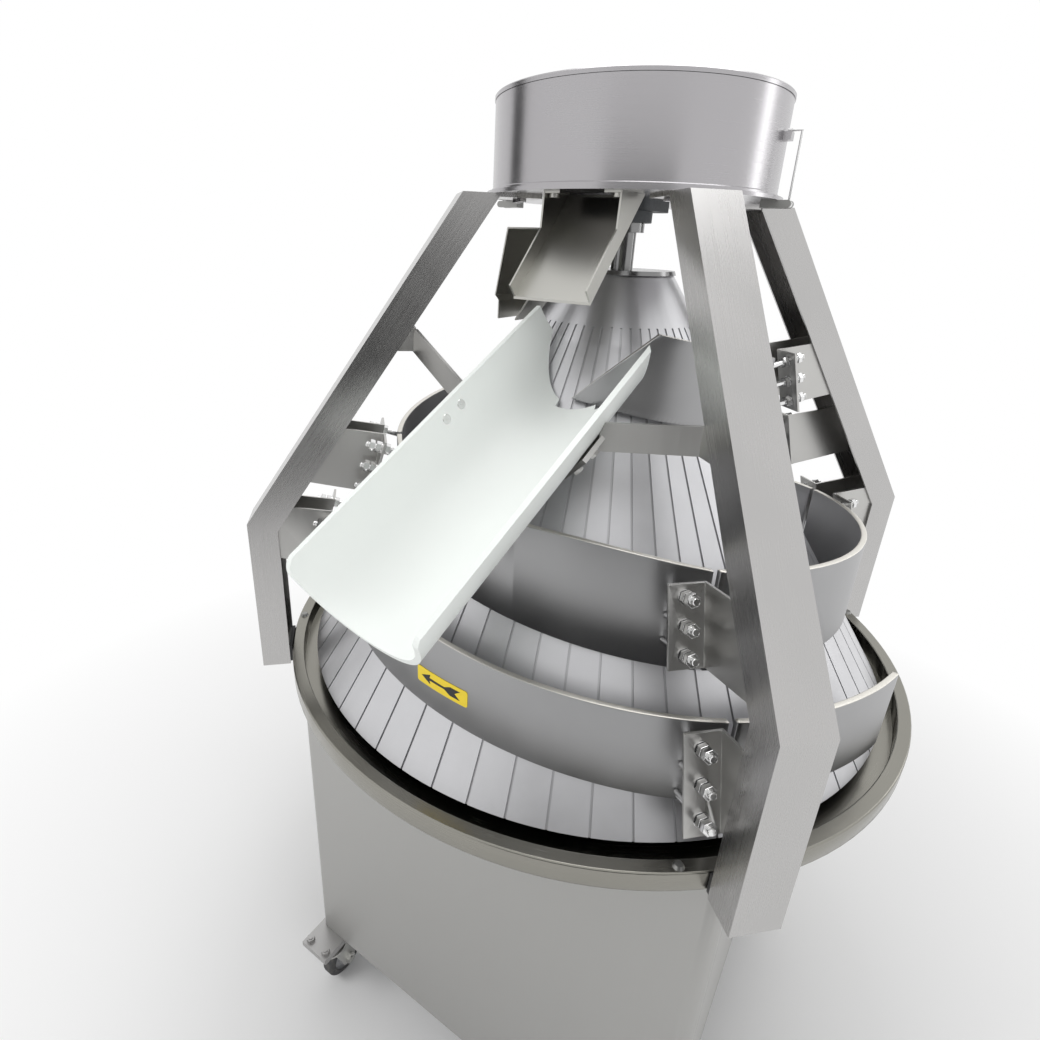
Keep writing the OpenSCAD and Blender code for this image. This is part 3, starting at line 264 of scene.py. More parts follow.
tyre = Finish("caster_tyre", (0.055, 0.055, 0.058), 0.72)
scuff = tyre.even(120.0)
tyre.feed("Base Color", tyre.mix(scuff.over(0.6, 0.3), tyre.shade(0.9), (0.11, 0.108, 0.1, 1)))
tyre.feed("Roughness", 0.62 + scuff * 0.25)
tyre.feed("Normal", tyre.bump(scuff, 0.0004, 0.4))
rim = Finish("caster_rim", (0.32, 0.32, 0.33), 0.45)
rim_grain = rim.even(260.0)
rim.feed("Roughness", 0.38 + rim_grain * 0.2)
rim.feed("Base Color", rim.mix(rim_grain, rim.shade(0.9), rim.shade(1.1)))

WHEEL_R, WHEEL_HALF, AXLE_R, SHOULDER_R = 0.040, 0.026 / 2, 0.00505, 0.0062
tread = [(WHEEL_R - 0.0125, WHEEL_HALF - 0.0012), (WHEEL_R - 0.0065, WHEEL_HALF - 0.0012)]
tread += [(WHEEL_R - SHOULDER_R + SHOULDER_R * math.sin(a),
           WHEEL_HALF - 0.0074 + SHOULDER_R * math.cos(a)) for a in (0.3, 0.7, 1.1, 1.5)]
tread += [(WHEEL_R - 0.0002, 0.0)]
tread += [(r, -h) for r, h in reversed(tread[:-1])]
disc = [(AXLE_R, WHEEL_HALF - 0.0006), (0.0155, WHEEL_HALF - 0.0006),
        (0.0165, WHEEL_HALF - 0.0016), (0.0172, 0.0062), (0.0186, 0.005), (0.0262, 0.005),
        (0.0272, 0.0062), (0.0274, WHEEL_HALF - 0.0026), (WHEEL_R - 0.0126, WHEEL_HALF - 0.0016)]
disc += [(r, -h) for r, h in reversed(disc)]
for code in CORNERS:
    low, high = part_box(f"caster_wheel_{code}")
    hub = Matrix.Translation((low + high) / 2) @ Matrix.Rotation(math.pi / 2, 4, "Y")
    wheel_tyre = lathe(f"tyre_{code}", tread, hub, tyre.material)
    wheel_rim = lathe(f"rim_{code}", disc, hub, rim.material)
    for piece in (wheel_tyre, wheel_rim):
        sharpen(piece, 40)
        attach(piece, f"wheel_{code}")
    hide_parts(f"caster_wheel_{code}")

# Cabinet frame and panels: square tube welded into a frame, and 2 mm stainless sheet with a
# fine matt grain. The front and rear sheets fold round the corners, the side sheets lie between.
tube_steel = brushed("tube_steel", (0.4, 0.4, 0.4), along("z"), 0.4)
dress(["frame_tubes", "drive_plate"], tube_steel)

panel = Finish("panel_sheet", (0.43, 0.427, 0.415), 0.46, 0.75)
panel_line = panel.noise(panel.x * 900.0, panel.y * 900.0, panel.z * 9.0, 3.0)
panel_cloud = panel.even(3.0)
panel.feed("Base Color", panel.mix(panel_line * 0.4 + panel_cloud * 0.6, panel.shade(0.94),
                                   panel.shade(1.06)))
panel.feed("Roughness", 0.42 + panel_line * 0.06 + panel_cloud * 0.05)
panel.feed("Normal", panel.bump(panel_line, 0.00008, 0.25))
dress(["front_panel", "rear_panel", "left_panel", "right_panel"], panel.material, 0.0006)

# Drive inside the cabinet: a painted gearmotor, cast pulleys, a rubber belt and cast flange
# bearings. None of it shows from outside, but the bearing under the drum is of the same iron.
motor_paint = Finish("motor_paint", (0.05, 0.11, 0.2), 0.38, 0.0)
orange = motor_paint.even(420.0)
motor_paint.feed("Roughness", 0.32 + orange * 0.2)
motor_paint.feed("Normal", motor_paint.bump(orange, 0.0003, 0.3))
motor_paint.feed("Base Color", motor_paint.mix(motor_paint.even(11.0), motor_paint.shade(0.85),
                                               motor_paint.shade(1.15)))
dress(["gearmotor"], motor_paint.material)

iron = Finish("cast_iron", (0.075, 0.08, 0.085), 0.55, 0.3)
skin = iron.even(300.0)
iron.feed("Roughness", 0.42 + skin * 0.3)
iron.feed("Normal", iron.bump(skin, 0.0006, 0.5))
iron.feed("Base Color", iron.mix(iron.even(14.0), iron.shade(0.8), iron.shade(1.35)))
dress(["shaft_bearings", "top_bearing", "driven_pulley", "drive_pulley", "cone_spider"],
      iron.material)

rubber = Finish("belt_rubber", (0.02, 0.02, 0.021), 0.7)
weave = rubber.even(700.0)
rubber.feed("Roughness", 0.6 + weave * 0.2)
rubber.feed("Normal", rubber.bump(weave, 0.0003, 0.4))
dress(["drive_belt"], rubber.material)

# Pan: a round stainless dish whose rim is a flat ground ring. It catches flour and scraps under
# the cone. The grain runs round it, as it was ground on a turntable.


def around(f):
    return [f.radius * FINE, f.z * FINE, f.turn * 2.0]


ring_steel = brushed("ring_steel", (0.29, 0.282, 0.252), around, 0.24, 0.06, 0.08)
dress(["base_pan"], ring_steel, 0.0008)

# Cone: cast aluminium, turned to a satin finish and fluted with straight grooves that grip the
# dough. The grooves are painted a little darker, as painted shade in them.
cone_metal = Finish("cone_aluminium", (0.64, 0.64, 0.655), 0.34, 1.0)
turned = cone_metal.noise(cone_metal.radius * 900.0, cone_metal.z * 900.0,
                          cone_metal.turn * 3.0, 3.0)
matt = cone_metal.even(26.0, 4.0)
CONE_R0, CONE_Z0, CONE_TAPER, COLLAR_Z = 0.4155, 0.7475, 0.672, 1.19
skin_r = CONE_R0 - (cone_metal.z - CONE_Z0) * CONE_TAPER
# painted shade: where the surface lies below the cone's skin, in the grooves, the colour is darker
groove_shade = (skin_r - cone_metal.radius).over(0.0008, 0.0008)
cone_metal.feed("Base Color", cone_metal.mix(
    groove_shade, cone_metal.mix(matt, cone_metal.shade(0.9), cone_metal.shade(1.08)),
    cone_metal.shade(0.8)))
collar = cone_metal.z.over(COLLAR_Z, 0.004)
cone_metal.feed("Roughness", (0.3 + turned * 0.08 + matt * 0.14 - collar * 0.08).clamped())
cone_metal.feed("Normal", cone_metal.bump(turned * 0.2 + matt * 0.5, 0.00012, 0.3))
dress(["cone"], cone_metal.material)

shaft_steel = brushed("shaft_steel", (0.24, 0.24, 0.24), around, 0.22)
dress(["main_shaft", "cone_cap", "agitator"], shaft_steel)

# Arms: four stainless channels bent from 3 mm sheet, ground along their length, standing beside
# the pan's ring and carrying the flour drum. U-shaped feet and black spacers join them to it.
ARM_OUT, KNEE_Z = 0.492, 0.944
ARM_FALL = (492 - 213) / (1352 - 944)  # run inwards for each step up, above the knee
ARM_COS = math.cos(math.atan(ARM_FALL))
ARMS = {"arm_front_left": 225, "arm_front_right": 315, "arm_rear_right": 45, "arm_rear_left": 135}


def arm_grain(azimuth):
    c, s = math.cos(math.radians(azimuth)), math.sin(math.radians(azimuth))

    def grain(f):
        out = f.x * c + f.y * s
        side = f.y * c - f.x * s
        low = ARM_OUT - out
        high = (ARM_OUT - out - (f.z - KNEE_Z) * ARM_FALL) * ARM_COS
        depth = f.math("MINIMUM", low, high)
        return [side * 1100.0, depth * 1100.0, f.z * 11.0]

    return grain


ARM_STEEL = (0.50, 0.493, 0.487)
for name, azimuth in ARMS.items():
    dress([name], brushed(f"{name}_steel", ARM_STEEL, arm_grain(azimuth), 0.27, 0.045, 0.07))
foot_steel = brushed("foot_steel", (0.3, 0.3, 0.29), along("z"), 0.34)
dress(["arm_feet"], foot_steel)
pad = Finish("spacer_plastic", (0.018, 0.018, 0.019), 0.5)
pad.feed("Roughness", 0.42 + pad.even(200.0) * 0.2)
dress(["arm_pads"], pad.material)

# Tracks: two spiral bands, cast and smoothed, one segment between each pair of arms. They have a
# soft satin skin with a slight unevenness from the hand finish, and a painted highlight: faces
# that look up are painted a pale cream.
band = Finish("track_satin", (0.38, 0.38, 0.385), 0.36, 1.0)
wavy = band.even(16.0, 2.0)
fine = band.even(900.0, 2.0)
facing = band.node("ShaderNodeSeparateXYZ", inputs={
    0: band.node("ShaderNodeNewGeometry", out="Normal")}).socket.node
# painted highlight: faces whose normal points up are coloured a pale cream, as if lit from above
top_highlight = Wire(band, facing.outputs[2]).over(0.55, 0.4)
satin = band.mix(wavy, band.shade(0.88), band.shade(1.1))
band.feed("Base Color", band.mix(top_highlight, satin, (0.72, 0.70, 0.65, 1.0)))
band.feed("Roughness", (0.3 + wavy * 0.14 + fine * 0.06).clamped())
band.feed("Normal", band.bump(wavy + fine * 0.03, 0.0016, 0.25))
TRACK_LEAD, TRACK_A_Z, TRACK_B_Z = 0.222, 0.783, 0.8895
BAND_T, TRACK_GAP, BULGE = 0.007, 0.003, 0.005


def cone_r(z):
    return CONE_R0 - (z - CONE_Z0) * CONE_TAPER


def band_low(start_z, azimuth, share):
    """Height of a band's lower edge, share of the way along its segment."""
    return start_z + (315 - azimuth) * TRACK_LEAD / 360 + BULGE * math.sin(math.pi * share)


def band_face(z):
    """Radius of a band's outer face."""
    return cone_r(z) + TRACK_GAP + BAND_T


class Grower(Net):
    """A geometry node group whose sizes are named inputs."""

    def __init__(self, name):
        super().__init__(bpy.data.node_groups.new(name, "GeometryNodeTree"))
        self.socket("Geometry", "INPUT", "NodeSocketGeometry")
        self.socket("Geometry", "OUTPUT", "NodeSocketGeometry")
        self.source = self.tree.nodes.new("NodeGroupInput")
        self.sizes = {}

    def socket(self, name, side, kind):
        return self.tree.interface.new_socket(name, in_out=side, socket_type=kind)

    def size(self, name, value):
        made = self.socket(name, "INPUT", "NodeSocketFloat")
        self.sizes[made.identifier] = value
        found = [o for o in self.source.outputs if o.identifier == made.identifier]
        return Wire(self, found[0])

    def finish(self, parts, material):
        real = self.node("GeometryNodeRealizeInstances", inputs={"Geometry": self.joined(parts)})
        made = self.node("GeometryNodeSetMaterial", inputs={"Geometry": real, "Material": material})
        out = self.tree.nodes.new("NodeGroupOutput")
        self.tree.links.new(made.socket, out.inputs[0])

    def joined(self, parts):
        join = self.tree.nodes.new("GeometryNodeJoinGeometry")
        for part in parts:
            self.tree.links.new(part.socket, join.inputs[0])
        return Wire(self, join.outputs[0])

    def run(self, piece):
        """Puts this group on the piece, each size set by its socket's identifier."""
        made = piece.modifiers.new("grow", "NODES")
        made.node_group = self.tree
        for identifier, value in self.sizes.items():
            made[identifier] = value


def settle(piece, body, bevel=0.0):
    """Turns what the modifiers make into the piece's own plain mesh, smooth between sharp edges."""
    if bevel:
        round_edges(piece, bevel, 3, 50)
        weigh = piece.modifiers.new("weigh", "WEIGHTED_NORMAL")
        weigh.keep_sharp = False
    depsgraph = bpy.context.evaluated_depsgraph_get()
    piece.data = bpy.data.meshes.new_from_object(piece.evaluated_get(depsgraph))
    piece.modifiers.clear()
    for face in piece.data.polygons:
        face.use_smooth = True
    sharpen(piece)
    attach(piece, body)


def band_piece(name, start_z, start, end, end_top, height, loss, wave):
    """One segment: a bar whose length follows the helix and whose radius follows the cone."""
    grow = Grower(name)
    first, last, last_top = (grow.size(label, math.radians(a)) for label, a in (
        ("start angle", start), ("end angle", end), ("end angle of the top edge", end_top)))
    bar = grow.node("GeometryNodeMeshCube", inputs={
        "Size": (1.0, 1.0, 1.0), "Vertices X": 2, "Vertices Y": int((start - end) * 1.2) + 2,
        "Vertices Z": 12 if end != end_top else 2})
    at = grow.node("ShaderNodeSeparateXYZ", inputs={0: grow.node("GeometryNodeInputPosition")})
    depth, share, up = (Wire(grow, at.socket.node.outputs[k]) + 0.5 for k in range(3))
    stop = last + up * (last_top - last)
    angle = first + share * (stop - first)
    part = (first - angle) / (first - last)
    lead = grow.size("rise per radian", TRACK_LEAD / (2 * math.pi))
    from_ref = math.radians(315) - angle
    low = (from_ref * lead + grow.size("height at the front right arm", start_z)
           + grow.math("SINE", part * math.pi) * grow.size("bulge", BULGE))
    tall = (grow.size("height of the band", height)
            - grow.math("MAXIMUM", from_ref, 0.0) * grow.size("height lost per radian", loss)
            - grow.math("SINE", part * math.pi) * BULGE
            + grow.math("SINE", part * 2 * math.pi) * grow.size("wave", wave))
    radius = (CONE_R0 + TRACK_GAP - (low - CONE_Z0) * CONE_TAPER
              + depth * grow.size("thickness", BAND_T))
    place = grow.node("ShaderNodeCombineXYZ", inputs={
        0: radius * grow.math("COSINE", angle), 1: radius * grow.math("SINE", angle),
        2: low + up * tall})
    bent = grow.node("GeometryNodeSetPosition", inputs={"Geometry": bar, "Position": place})
    grow.finish([bent], band.material)
    piece = linked(f"{name}_band", bpy.data.meshes.new(name))
    grow.run(piece)
    settle(piece, "stand", 0.0013)
    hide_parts(name)


END_GAP, A_H, B_H, B_LOSS = 0.6, 0.101, 0.118, 0.020 / (2 * math.pi)
B_END_TOP, B3_WAVE = -51, 0.009
SEGMENTS = {"track_a0": (TRACK_A_Z, 352, 315), "track_a1": (TRACK_A_Z, 315, 225),
            "track_a2": (TRACK_A_Z, 225, 135), "track_a3": (TRACK_A_Z, 135, 45),
            "track_b1": (TRACK_B_Z, 495, 405), "track_b2": (TRACK_B_Z, 405, 315),
            "track_b3": (TRACK_B_Z, 315, 225), "track_b4": (TRACK_B_Z, 225, 135),
            "track_b5": (TRACK_B_Z, 135, 45), "track_b6": (TRACK_B_Z, 45, -81.5)}
for name, (start_z, start, end) in SEGMENTS.items():
    first = start - (0 if name == "track_a0" else END_GAP)
    last = end + (0 if name == "track_b6" else END_GAP)
    last_top = B_END_TOP if name == "track_b6" else last
    height, loss = (A_H, 0.0) if start_z == TRACK_A_Z else (B_H, B_LOSS)
    band_piece(name, start_z, first, last, last_top, height, loss,
               B3_WAVE if name == "track_b3" else 0.0)

# Direction arrow: a yellow sticker with round corners and a plain black arrow, stuck on the
# first track at the front. It lies on the band's curved face.
STICKER_AZ, STICKER_Z, STICKER_LEAN = 271.0, 0.8547, -0.045
STICKER_L, STICKER_H, STICKER_BAND_R = 0.070, 0.0205, 0.3795


def on_band(u, v, lift):
    """Point at arc length u and height v from the sticker's middle, lifted off the band."""
    azimuth = STICKER_AZ + math.degrees(u / STICKER_BAND_R)
    radius = band_face(band_low(TRACK_A_Z, azimuth, (315 - azimuth) / 90)) + lift
    a = math.radians(azimuth)
    return (radius * math.cos(a), radius * math.sin(a), STICKER_Z + v + u * STICKER_LEAN)


def sticker_part(name, outline, lift, thick, material):
    """Extrudes a flat outline of (u, v) onto the band, cut into narrow strips along u."""
    work = bmesh.new()
    work.faces.new([work.verts.new((u, 0.0, v)) for u, v in outline])
    cuts = 24
    for k in range(1, cuts):
        u = STICKER_L * (k / cuts - 0.5)
        bmesh.ops.bisect_plane(work, geom=work.verts[:] + work.edges[:] + work.faces[:],
                               plane_co=(u, 0, 0), plane_no=(1, 0, 0))
    grown = bmesh.ops.extrude_face_region(work, geom=work.faces[:])
    for v in grown["geom"]:
        if isinstance(v, bmesh.types.BMVert):
            v.co.y = 1.0
    verts = [on_band(v.co.x, v.co.z, lift + thick * v.co.y) for v in work.verts]
    work.verts.index_update()
    faces = [[v.index for v in f.verts] for f in work.faces]
    work.free()
    piece = mesh_piece(name, verts, faces, material, smooth=False)
    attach(piece, "stand")
    return piece


corner, half_l, half_h = 0.0028, STICKER_L / 2, STICKER_H / 2
outline = []
for cx, cy, start in ((1, 1, 0), (-1, 1, 90), (-1, -1, 180), (1, -1, 270)):
    for k in range(5):
        a = math.radians(start + 22.5 * k)
        outline.append((cx * (half_l - corner) + corner * math.cos(a),
                        cy * (half_h - corner) + corner * math.sin(a)))
yellow = Finish("sticker_yellow", (0.80, 0.60, 0.02), 0.35)
yellow.feed("Base Color", yellow.mix(yellow.even(90.0), yellow.shade(0.92), yellow.shade(1.06)))
yellow.feed("Roughness", 0.3 + yellow.even(300.0) * 0.12)
ink = Finish("sticker_ink", (0.012, 0.012, 0.014), 0.4)
ink.feed("Roughness", 0.34 + ink.even(300.0) * 0.14)
sticker_part("direction_sticker", outline, 0.00015, 0.0003, yellow.material)
arrow = [(-0.0285, 0.0), (-0.0155, -0.0062), (-0.0165, -0.0017), (0.0045, -0.0014),
         (0.0125, -0.0056), (0.0255, -0.0056), (0.0185, 0.0), (0.0255, 0.0056),
         (0.0125, 0.0056), (0.0045, 0.0014), (-0.0165, 0.0017), (-0.0155, 0.0062)]
sticker_part("direction_arrow", arrow, 0.0005, 0.00012, ink.material)

# Brackets and studs: bent stainless sheets inside the arms' channels, and threaded studs with
# washers and hex nuts that set each band's distance from the cone. The fasteners are grown from
# points, each with its own aim, by one kind of node group.


class Planter(Grower):
    """A grower that sets turned parts on points."""

    def turned(self, label, sides, radius, steps):
        """A closed solid that rises from z = 0: each step is (length, radius at its end)."""
        now = self.size(f"{label} foot radius", radius)
        disc = self.node("GeometryNodeMeshCircle", {"fill_type": "NGON"},
                         {"Vertices": sides, "Radius": now})
        solid, last = disc, now
        for k, (length, radius) in enumerate(steps):
            upward = self.node("ShaderNodeCombineXYZ", inputs={2: 1.0})
            grown = self.node("GeometryNodeExtrudeMesh", {"mode": "FACES"},
                              {"Mesh": solid, "Offset": upward,
                               "Offset Scale": self.size(f"{label} length {k + 1}", length)})
            top = Wire(self, grown.socket.node.outputs["Top"])
            now = self.size(f"{label} radius {k + 1}", radius)
            solid = self.node("GeometryNodeScaleElements", {"domain": "FACE"},
                              {"Geometry": grown, "Selection": top, "Scale": now / last})
            last = now
        foot = self.node("GeometryNodeFlipFaces", inputs={"Mesh": disc})
        both = self.joined([solid, foot])
        return self.node("GeometryNodeMergeByDistance",
                         inputs={"Geometry": both, "Distance": 1e-6})

    def moved(self, part, height):
        shift = self.node("ShaderNodeCombineXYZ", inputs={2: height})
        return self.node("GeometryNodeTransform", inputs={"Geometry": part, "Translation": shift})

    def planted(self, part, stretch=None):
        """Sets the part on every point, its Z turned to the point's aim."""
        aim = self.node("GeometryNodeInputNamedAttribute", {"data_type": "FLOAT_VECTOR"},
                        {"Name": "aim"})
        turn = self.node("FunctionNodeAlignRotationToVector", {"axis": "Z"}, {"Vector": aim})
        inputs = {"Points": Wire(self, self.source.outputs[0]), "Instance": part,
                  "Rotation": turn}
        if stretch:
            length = self.node("GeometryNodeInputNamedAttribute", {"data_type": "FLOAT"},
                               {"Name": stretch})
            inputs["Scale"] = self.node("ShaderNodeCombineXYZ", inputs={0: 1.0, 1: 1.0, 2: length})
        return self.node("GeometryNodeInstanceOnPoints", inputs=inputs)


bracket_steel = brushed("bracket_steel", (0.54, 0.535, 0.52), along("z"), 0.34, 0.05, 0.12)
dress(["track_brackets"], bracket_steel, 0.0004)
stud_steel = brushed("stud_steel", (0.86, 0.86, 0.85), along("z"), 0.14, 0.05, 0.08)

RISE, PLATE_H, STANDOFF, LEAN = 0.038, 0.080, 0.027, 0.3
STUD_D, STUD_Y, SEAT, WING_T = 0.008, 0.0232 - 0.0015 + 0.0185 + 0.003, 0.0003, 0.003
LEAN_ANGLE = math.atan(LEAN)
# arm's azimuth, track's start, angle along the track, plate's rise and height, spans up and down
BRACKETS = [
    (315, TRACK_A_Z, 315, 0.013, 0.096, 37, 90), (225, TRACK_A_Z, 225, RISE, PLATE_H, 90, 90),
    (135, TRACK_A_Z, 135, RISE, PLATE_H, 90, 90), (45, TRACK_A_Z, 45, RISE, PLATE_H, 90, 0),
    (135, TRACK_B_Z, 495, RISE, PLATE_H, 0, 90), (45, TRACK_B_Z, 405, RISE, PLATE_H, 90, 90),
    (315, TRACK_B_Z, 315, RISE, PLATE_H, 90, 90), (225, TRACK_B_Z, 225, RISE, PLATE_H, 90, 90),
    (135, TRACK_B_Z, 135, RISE, PLATE_H, 90, 90), (45, TRACK_B_Z, 45, RISE, PLATE_H, 90, 129)]
stud_places, stud_aims, stud_reach = [], [], []
for azimuth, start_z, angle, rise, height, span_up, span_down in BRACKETS:
    low = band_low(start_z, angle, 0.0)
    c, s = math.cos(math.radians(azimuth)), math.sin(math.radians(azimuth))

    def face_at(side, span, y):
        turn = math.degrees(math.asin(y / band_face(low)))
        z = low - side * turn * TRACK_LEAD / 360 + BULGE * math.sin(math.pi * turn / span)
        return math.sqrt(band_face(z) ** 2 - y * y)

    for side, span in ((1, span_up), (-1, span_down)):
        if not span:
            continue
        end = face_at(side, span, STUD_Y)
        end += math.hypot(STUD_D / 2 * math.sin(LEAN_ANGLE),
                          face_at(side, span, STUD_Y - STUD_D / 2) - end) + SEAT
        for share in (0.16, 0.5, 0.84):
            out = band_face(low) + STANDOFF + LEAN * height * (0.5 - share)
            y = side * STUD_Y
            stud_places.append((out * c - y * s, out * s + y * c, low + rise + height * share))
            stud_aims.append((math.cos(LEAN_ANGLE) * c, math.cos(LEAN_ANGLE) * s,
                              math.sin(LEAN_ANGLE)))
            stud_reach.append((out - end) / math.cos(LEAN_ANGLE))

NUT_R, NUT_H = 0.0064 / math.cos(math.pi / 6), 0.0064
grower = Planter("stud_hardware")


def hex_nut(grower, label, foot):
    bare = grower.turned(label, 6, NUT_R * 0.9, [(NUT_H * 0.12, NUT_R), (NUT_H * 0.76, NUT_R),
                                                 (NUT_H * 0.12, NUT_R * 0.9)])
    return grower.moved(bare, foot)


def washer(grower, label, foot):
    return grower.moved(grower.turned(label, 20, 0.0079, [(0.0012, 0.0079)]), foot)


rod = grower.turned("rod", 16, 0.0036, [(0.0232, 0.0036), (0.0006, 0.003)])
thread = grower.node("GeometryNodeCurveSpiral", inputs={
    "Resolution": 14, "Rotations": 8.0, "Start Radius": 0.00365, "End Radius": 0.00365,
    "Height": 0.0086})
ridge = grower.node("GeometryNodeCurvePrimitiveCircle",
                    inputs={"Resolution": 3, "Radius": 0.00045})
thread = grower.node("GeometryNodeCurveToMesh", inputs={"Curve": thread, "Profile Curve": ridge,
                                                        "Fill Caps": True})
inner = grower.turned("shank", 16, 0.0039, [(1.0, 0.0039)])
inner = grower.node("GeometryNodeTransform", inputs={
    "Geometry": inner, "Rotation": (math.pi, 0.0, 0.0)})
parts = [grower.planted(p) for p in (
    rod, grower.moved(thread, 0.0146),
    washer(grower, "outer washer", WING_T + 0.00005),
    hex_nut(grower, "outer nut", WING_T + 0.0013),
    hex_nut(grower, "lock nut", WING_T + NUT_H + 0.0030),
    hex_nut(grower, "inner nut", -NUT_H - 0.0013),
    washer(grower, "inner washer", -0.00125))]
parts.append(grower.planted(inner, "reach"))
grower.finish(parts, stud_steel)
points = bpy.data.meshes.new("track_fasteners")
points.from_pydata(stud_places, [], [])
points.attributes.new("aim", "FLOAT_VECTOR", "POINT").data.foreach_set(
    "vector", [c for a in stud_aims for c in a])
points.attributes.new("reach", "FLOAT", "POINT").data.foreach_set("value", stud_reach)
studs = linked("track_fasteners", points)
grower.run(studs)
settle(studs, "stand")
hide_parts("track_studs")

# Discharge chute: a half tube of white food-grade plastic, sawn to the cone's slope at its upper
# end, on a flat stainless bar and a strap.
plastic = Finish("chute_plastic", (0.83, 0.86, 0.835), 0.42, 0.0)
milky = plastic.even(8.0, 3.0)
plastic.feed("Base Color", plastic.mix(milky, plastic.shade(0.975), plastic.shade(1.02)))
plastic.feed("Roughness", 0.34 + plastic.even(60.0) * 0.1)
plastic.feed("Normal", plastic.bump(plastic.even(40.0), 0.0003, 0.12))
dress(["discharge_chute"], plastic.material)
dress(["chute_supports"], bracket_steel, 0.0004)

# two countersunk screws hold the strap's tab; their heads lie flush in the left wall
CHUTE_FOOT, CHUTE_AZ, CHUTE_SLOPE, CHUTE_R = Vector((0, -0.5116, 1.028)), 84.3, 29.1, 0.082
SCREW_SIDE = -74
chute_turn = (Matrix.Translation(CHUTE_FOOT) @ Matrix.Rotation(math.radians(CHUTE_AZ - 90), 4, "Z")
              @ Matrix.Rotation(math.radians(CHUTE_SLOPE - 90), 4, "X"))
head = [(0.0006, 0.0005), (0.0052, 0.0005), (0.0055, 0.0002), (0.0055, -0.0006),
        (0.0006, -0.0006)]
for k, way_up in enumerate((0.231, 0.257)):
    spot = (chute_turn @ Matrix.Translation((0, 0, way_up))
            @ Matrix.Rotation(math.radians(90 - SCREW_SIDE), 4, "Z")
            @ Matrix.Translation((CHUTE_R, 0, 0)) @ Matrix.Rotation(-math.pi / 2, 4, "Y"))
    screw = lathe(f"chute_screw_{k}", head, spot, stud_steel, 24)
    sharpen(screw)
    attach(screw, "stand")

# Flour drum: rolled stainless sheet with a folded lid, on a round base plate. Latch hooks at its
# rim hold it down, and the trough and the rear spout hang below it.


def down_the_slope(f):
    return [f.x * 1200.0, f.y * 14.0, f.z * 14.0]


drum_steel = brushed("drum_steel", (0.43, 0.42, 0.432), around, 0.24, 0.035, 0.05)
dress(["flour_drum", "drum_lid", "hopper_plate"], drum_steel)
spout_steel = brushed("spout_steel", (0.50, 0.495, 0.465), down_the_slope, 0.36, 0.03, 0.05)
dress(["flour_trough", "rear_spout"], spout_steel, 0.0004)
dress(["latch_clevises"], foot_steel)
dress(["latch_hook_right", "latch_hook_left"], stud_steel)

# Control box on the cabinet's left side: textured gray sheet housing with a start, a stop and an
# emergency-stop button in plain colours, and the cable gland below.
box_paint = Finish("box_paint", (0.42, 0.42, 0.4), 0.5)
grit = box_paint.even(500.0)
box_paint.feed("Roughness", 0.44 + grit * 0.16)
box_paint.feed("Normal", box_paint.bump(grit, 0.0003, 0.4))
dress(["control_box"], box_paint.material, 0.0008)
BUTTONS = {"start_button": (0.02, 0.26, 0.05), "stop_button": (0.5, 0.015, 0.012),
           "emergency_stop": (0.5, 0.015, 0.012)}
for name, color in BUTTONS.items():
    cap = Finish(f"{name}_plastic", color, 0.3)
    cap.feed("Roughness", 0.24 + cap.even(180.0) * 0.14)
    dress([name], cap.material, 0.001)

# Studio: a pale floor that fades into a white background, a soft key light, a fill, a top light
# and a narrow side light that the steel mirrors, and dark cards for its gray reflections.


def stage_disc(name, radius, height, steps=96):
    turns = [2 * math.pi * k / steps for k in range(steps)]
    verts = [(0.0, 0.0, height)]
    verts += [(radius * math.cos(a), radius * math.sin(a), height) for a in turns]
    faces = [(0, 1 + k, 1 + (k + 1) % steps) for k in range(steps)]
    return mesh_piece(name, verts, faces, floor.material, smooth=False)


floor = Finish("studio_floor", (0.86, 0.86, 0.86), 0.6)
white = floor.node("ShaderNodeEmission", inputs={"Color": (1, 1, 1, 1), "Strength": 1.0})
faded = floor.radius.over(1.15, 1.1)
lit = Wire(floor, floor.shader.outputs[0])
joined = floor.node("ShaderNodeMixShader", inputs={0: faded, 1: lit, 2: white})
floor.tree.links.new(joined.socket, floor.tree.nodes["Material Output"].inputs["Surface"])
stage_disc("floor", 9.0, 0.0)

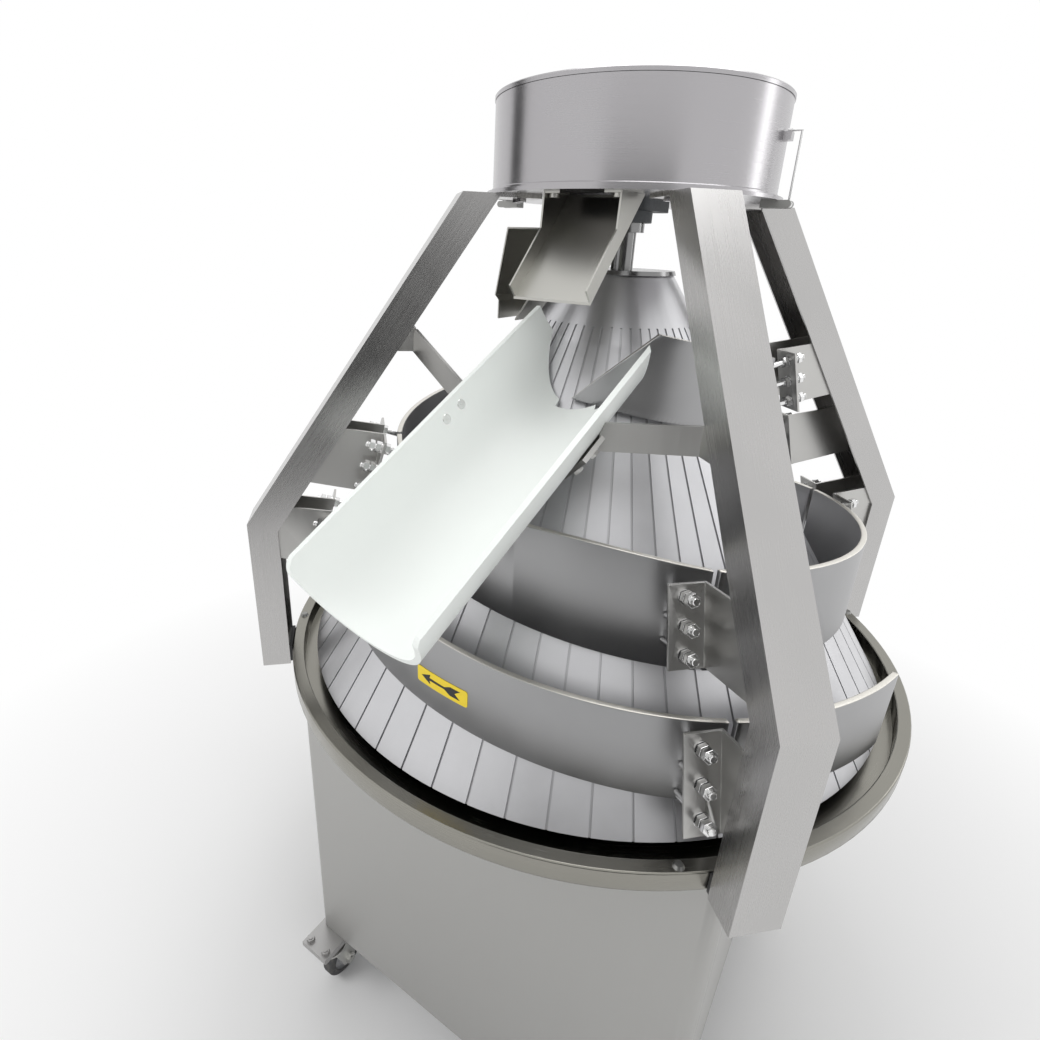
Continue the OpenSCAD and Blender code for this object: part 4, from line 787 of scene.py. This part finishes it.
world = bpy.data.worlds.new("studio")
bpy.context.scene.world = world
world.use_nodes = True
sky = Net(world.node_tree)
path = sky.node("ShaderNodeLightPath").socket.node
seen = sky.math("MAXIMUM", Wire(sky, path.outputs["Is Camera Ray"]),
                Wire(sky, path.outputs["Is Glossy Ray"]))
seen = sky.math("MAXIMUM", seen, Wire(sky, path.outputs["Is Transmission Ray"]))
level = seen * 0.5 + 0.5
sky.tree.links.new(level.socket, sky.tree.nodes["Background"].inputs["Strength"])
sky.tree.nodes["Background"].inputs["Color"].default_value = (1, 1, 1, 1)


def lamp(name, place, aim, size, watts, mirrored=False):
    """An area light; only a mirrored one shows in the steel."""
    light = bpy.data.lights.new(name, "AREA")
    light.shape = "RECTANGLE"
    light.size, light.size_y = size
    light.energy = watts
    made = linked(name, light)
    made.location = place
    made.rotation_euler = (Vector(aim) - Vector(place)).to_track_quat("-Z", "Y").to_euler()
    made.visible_glossy = mirrored


lamp("key", (-1.8, -2.2, 2.6), (0, 0, 1.0), (1.4, 1.4), 42)
lamp("fill", (2.4, -1.6, 1.6), (0, 0, 0.9), (1.6, 1.6), 16)
lamp("top", (0.2, 0.4, 3.2), (0, 0, 1.0), (1.8, 1.8), 26, mirrored=True)
lamp("side", (2.3, 1.7, 2.0), (0.1, 0, 1.2), (0.5, 1.6), 6, mirrored=True)

card_black = Finish("card_black", (0.03, 0.03, 0.03), 0.9)
card_gray = Finish("card_gray", (0.06, 0.06, 0.06), 0.9)


def card(name, centre, width, height, shade):
    """An upright card that faces the machine and darkens what the steel mirrors there."""
    c = Vector(centre)
    out = Vector((c.x, c.y, 0)).normalized()
    side = Vector((-out.y, out.x, 0)) * width / 2
    up = Vector((0, 0, height / 2))
    piece = mesh_piece(name, [c - side - up, c + side - up, c + side + up, c - side + up],
                       [(0, 1, 2, 3)], shade.material, smooth=False)
    piece.visible_camera = False
    piece.visible_diffuse = False
    piece.visible_shadow = False


card("card_front", (1.15, -2.1, 0.8), 2.4, 1.5, card_gray)
card("card_left", (-3.0, -0.6, 1.2), 0.8, 2.4, card_black)

camera = bpy.data.cameras.new("camera")
camera.sensor_width = 36.0
camera.lens = 21.766
camera.shift_x = 0.0330
camera.shift_y = -0.0213
camera.clip_start = 0.01
eye = linked("camera", camera)
eye.location = (0.34576, -0.81456, 1.29866)
eye.rotation_euler = [math.radians(a) for a in (67.84614, -1.92537, 34.53220)]
bpy.context.scene.camera = eye
bpy.context.scene.view_settings.view_transform = "Standard"
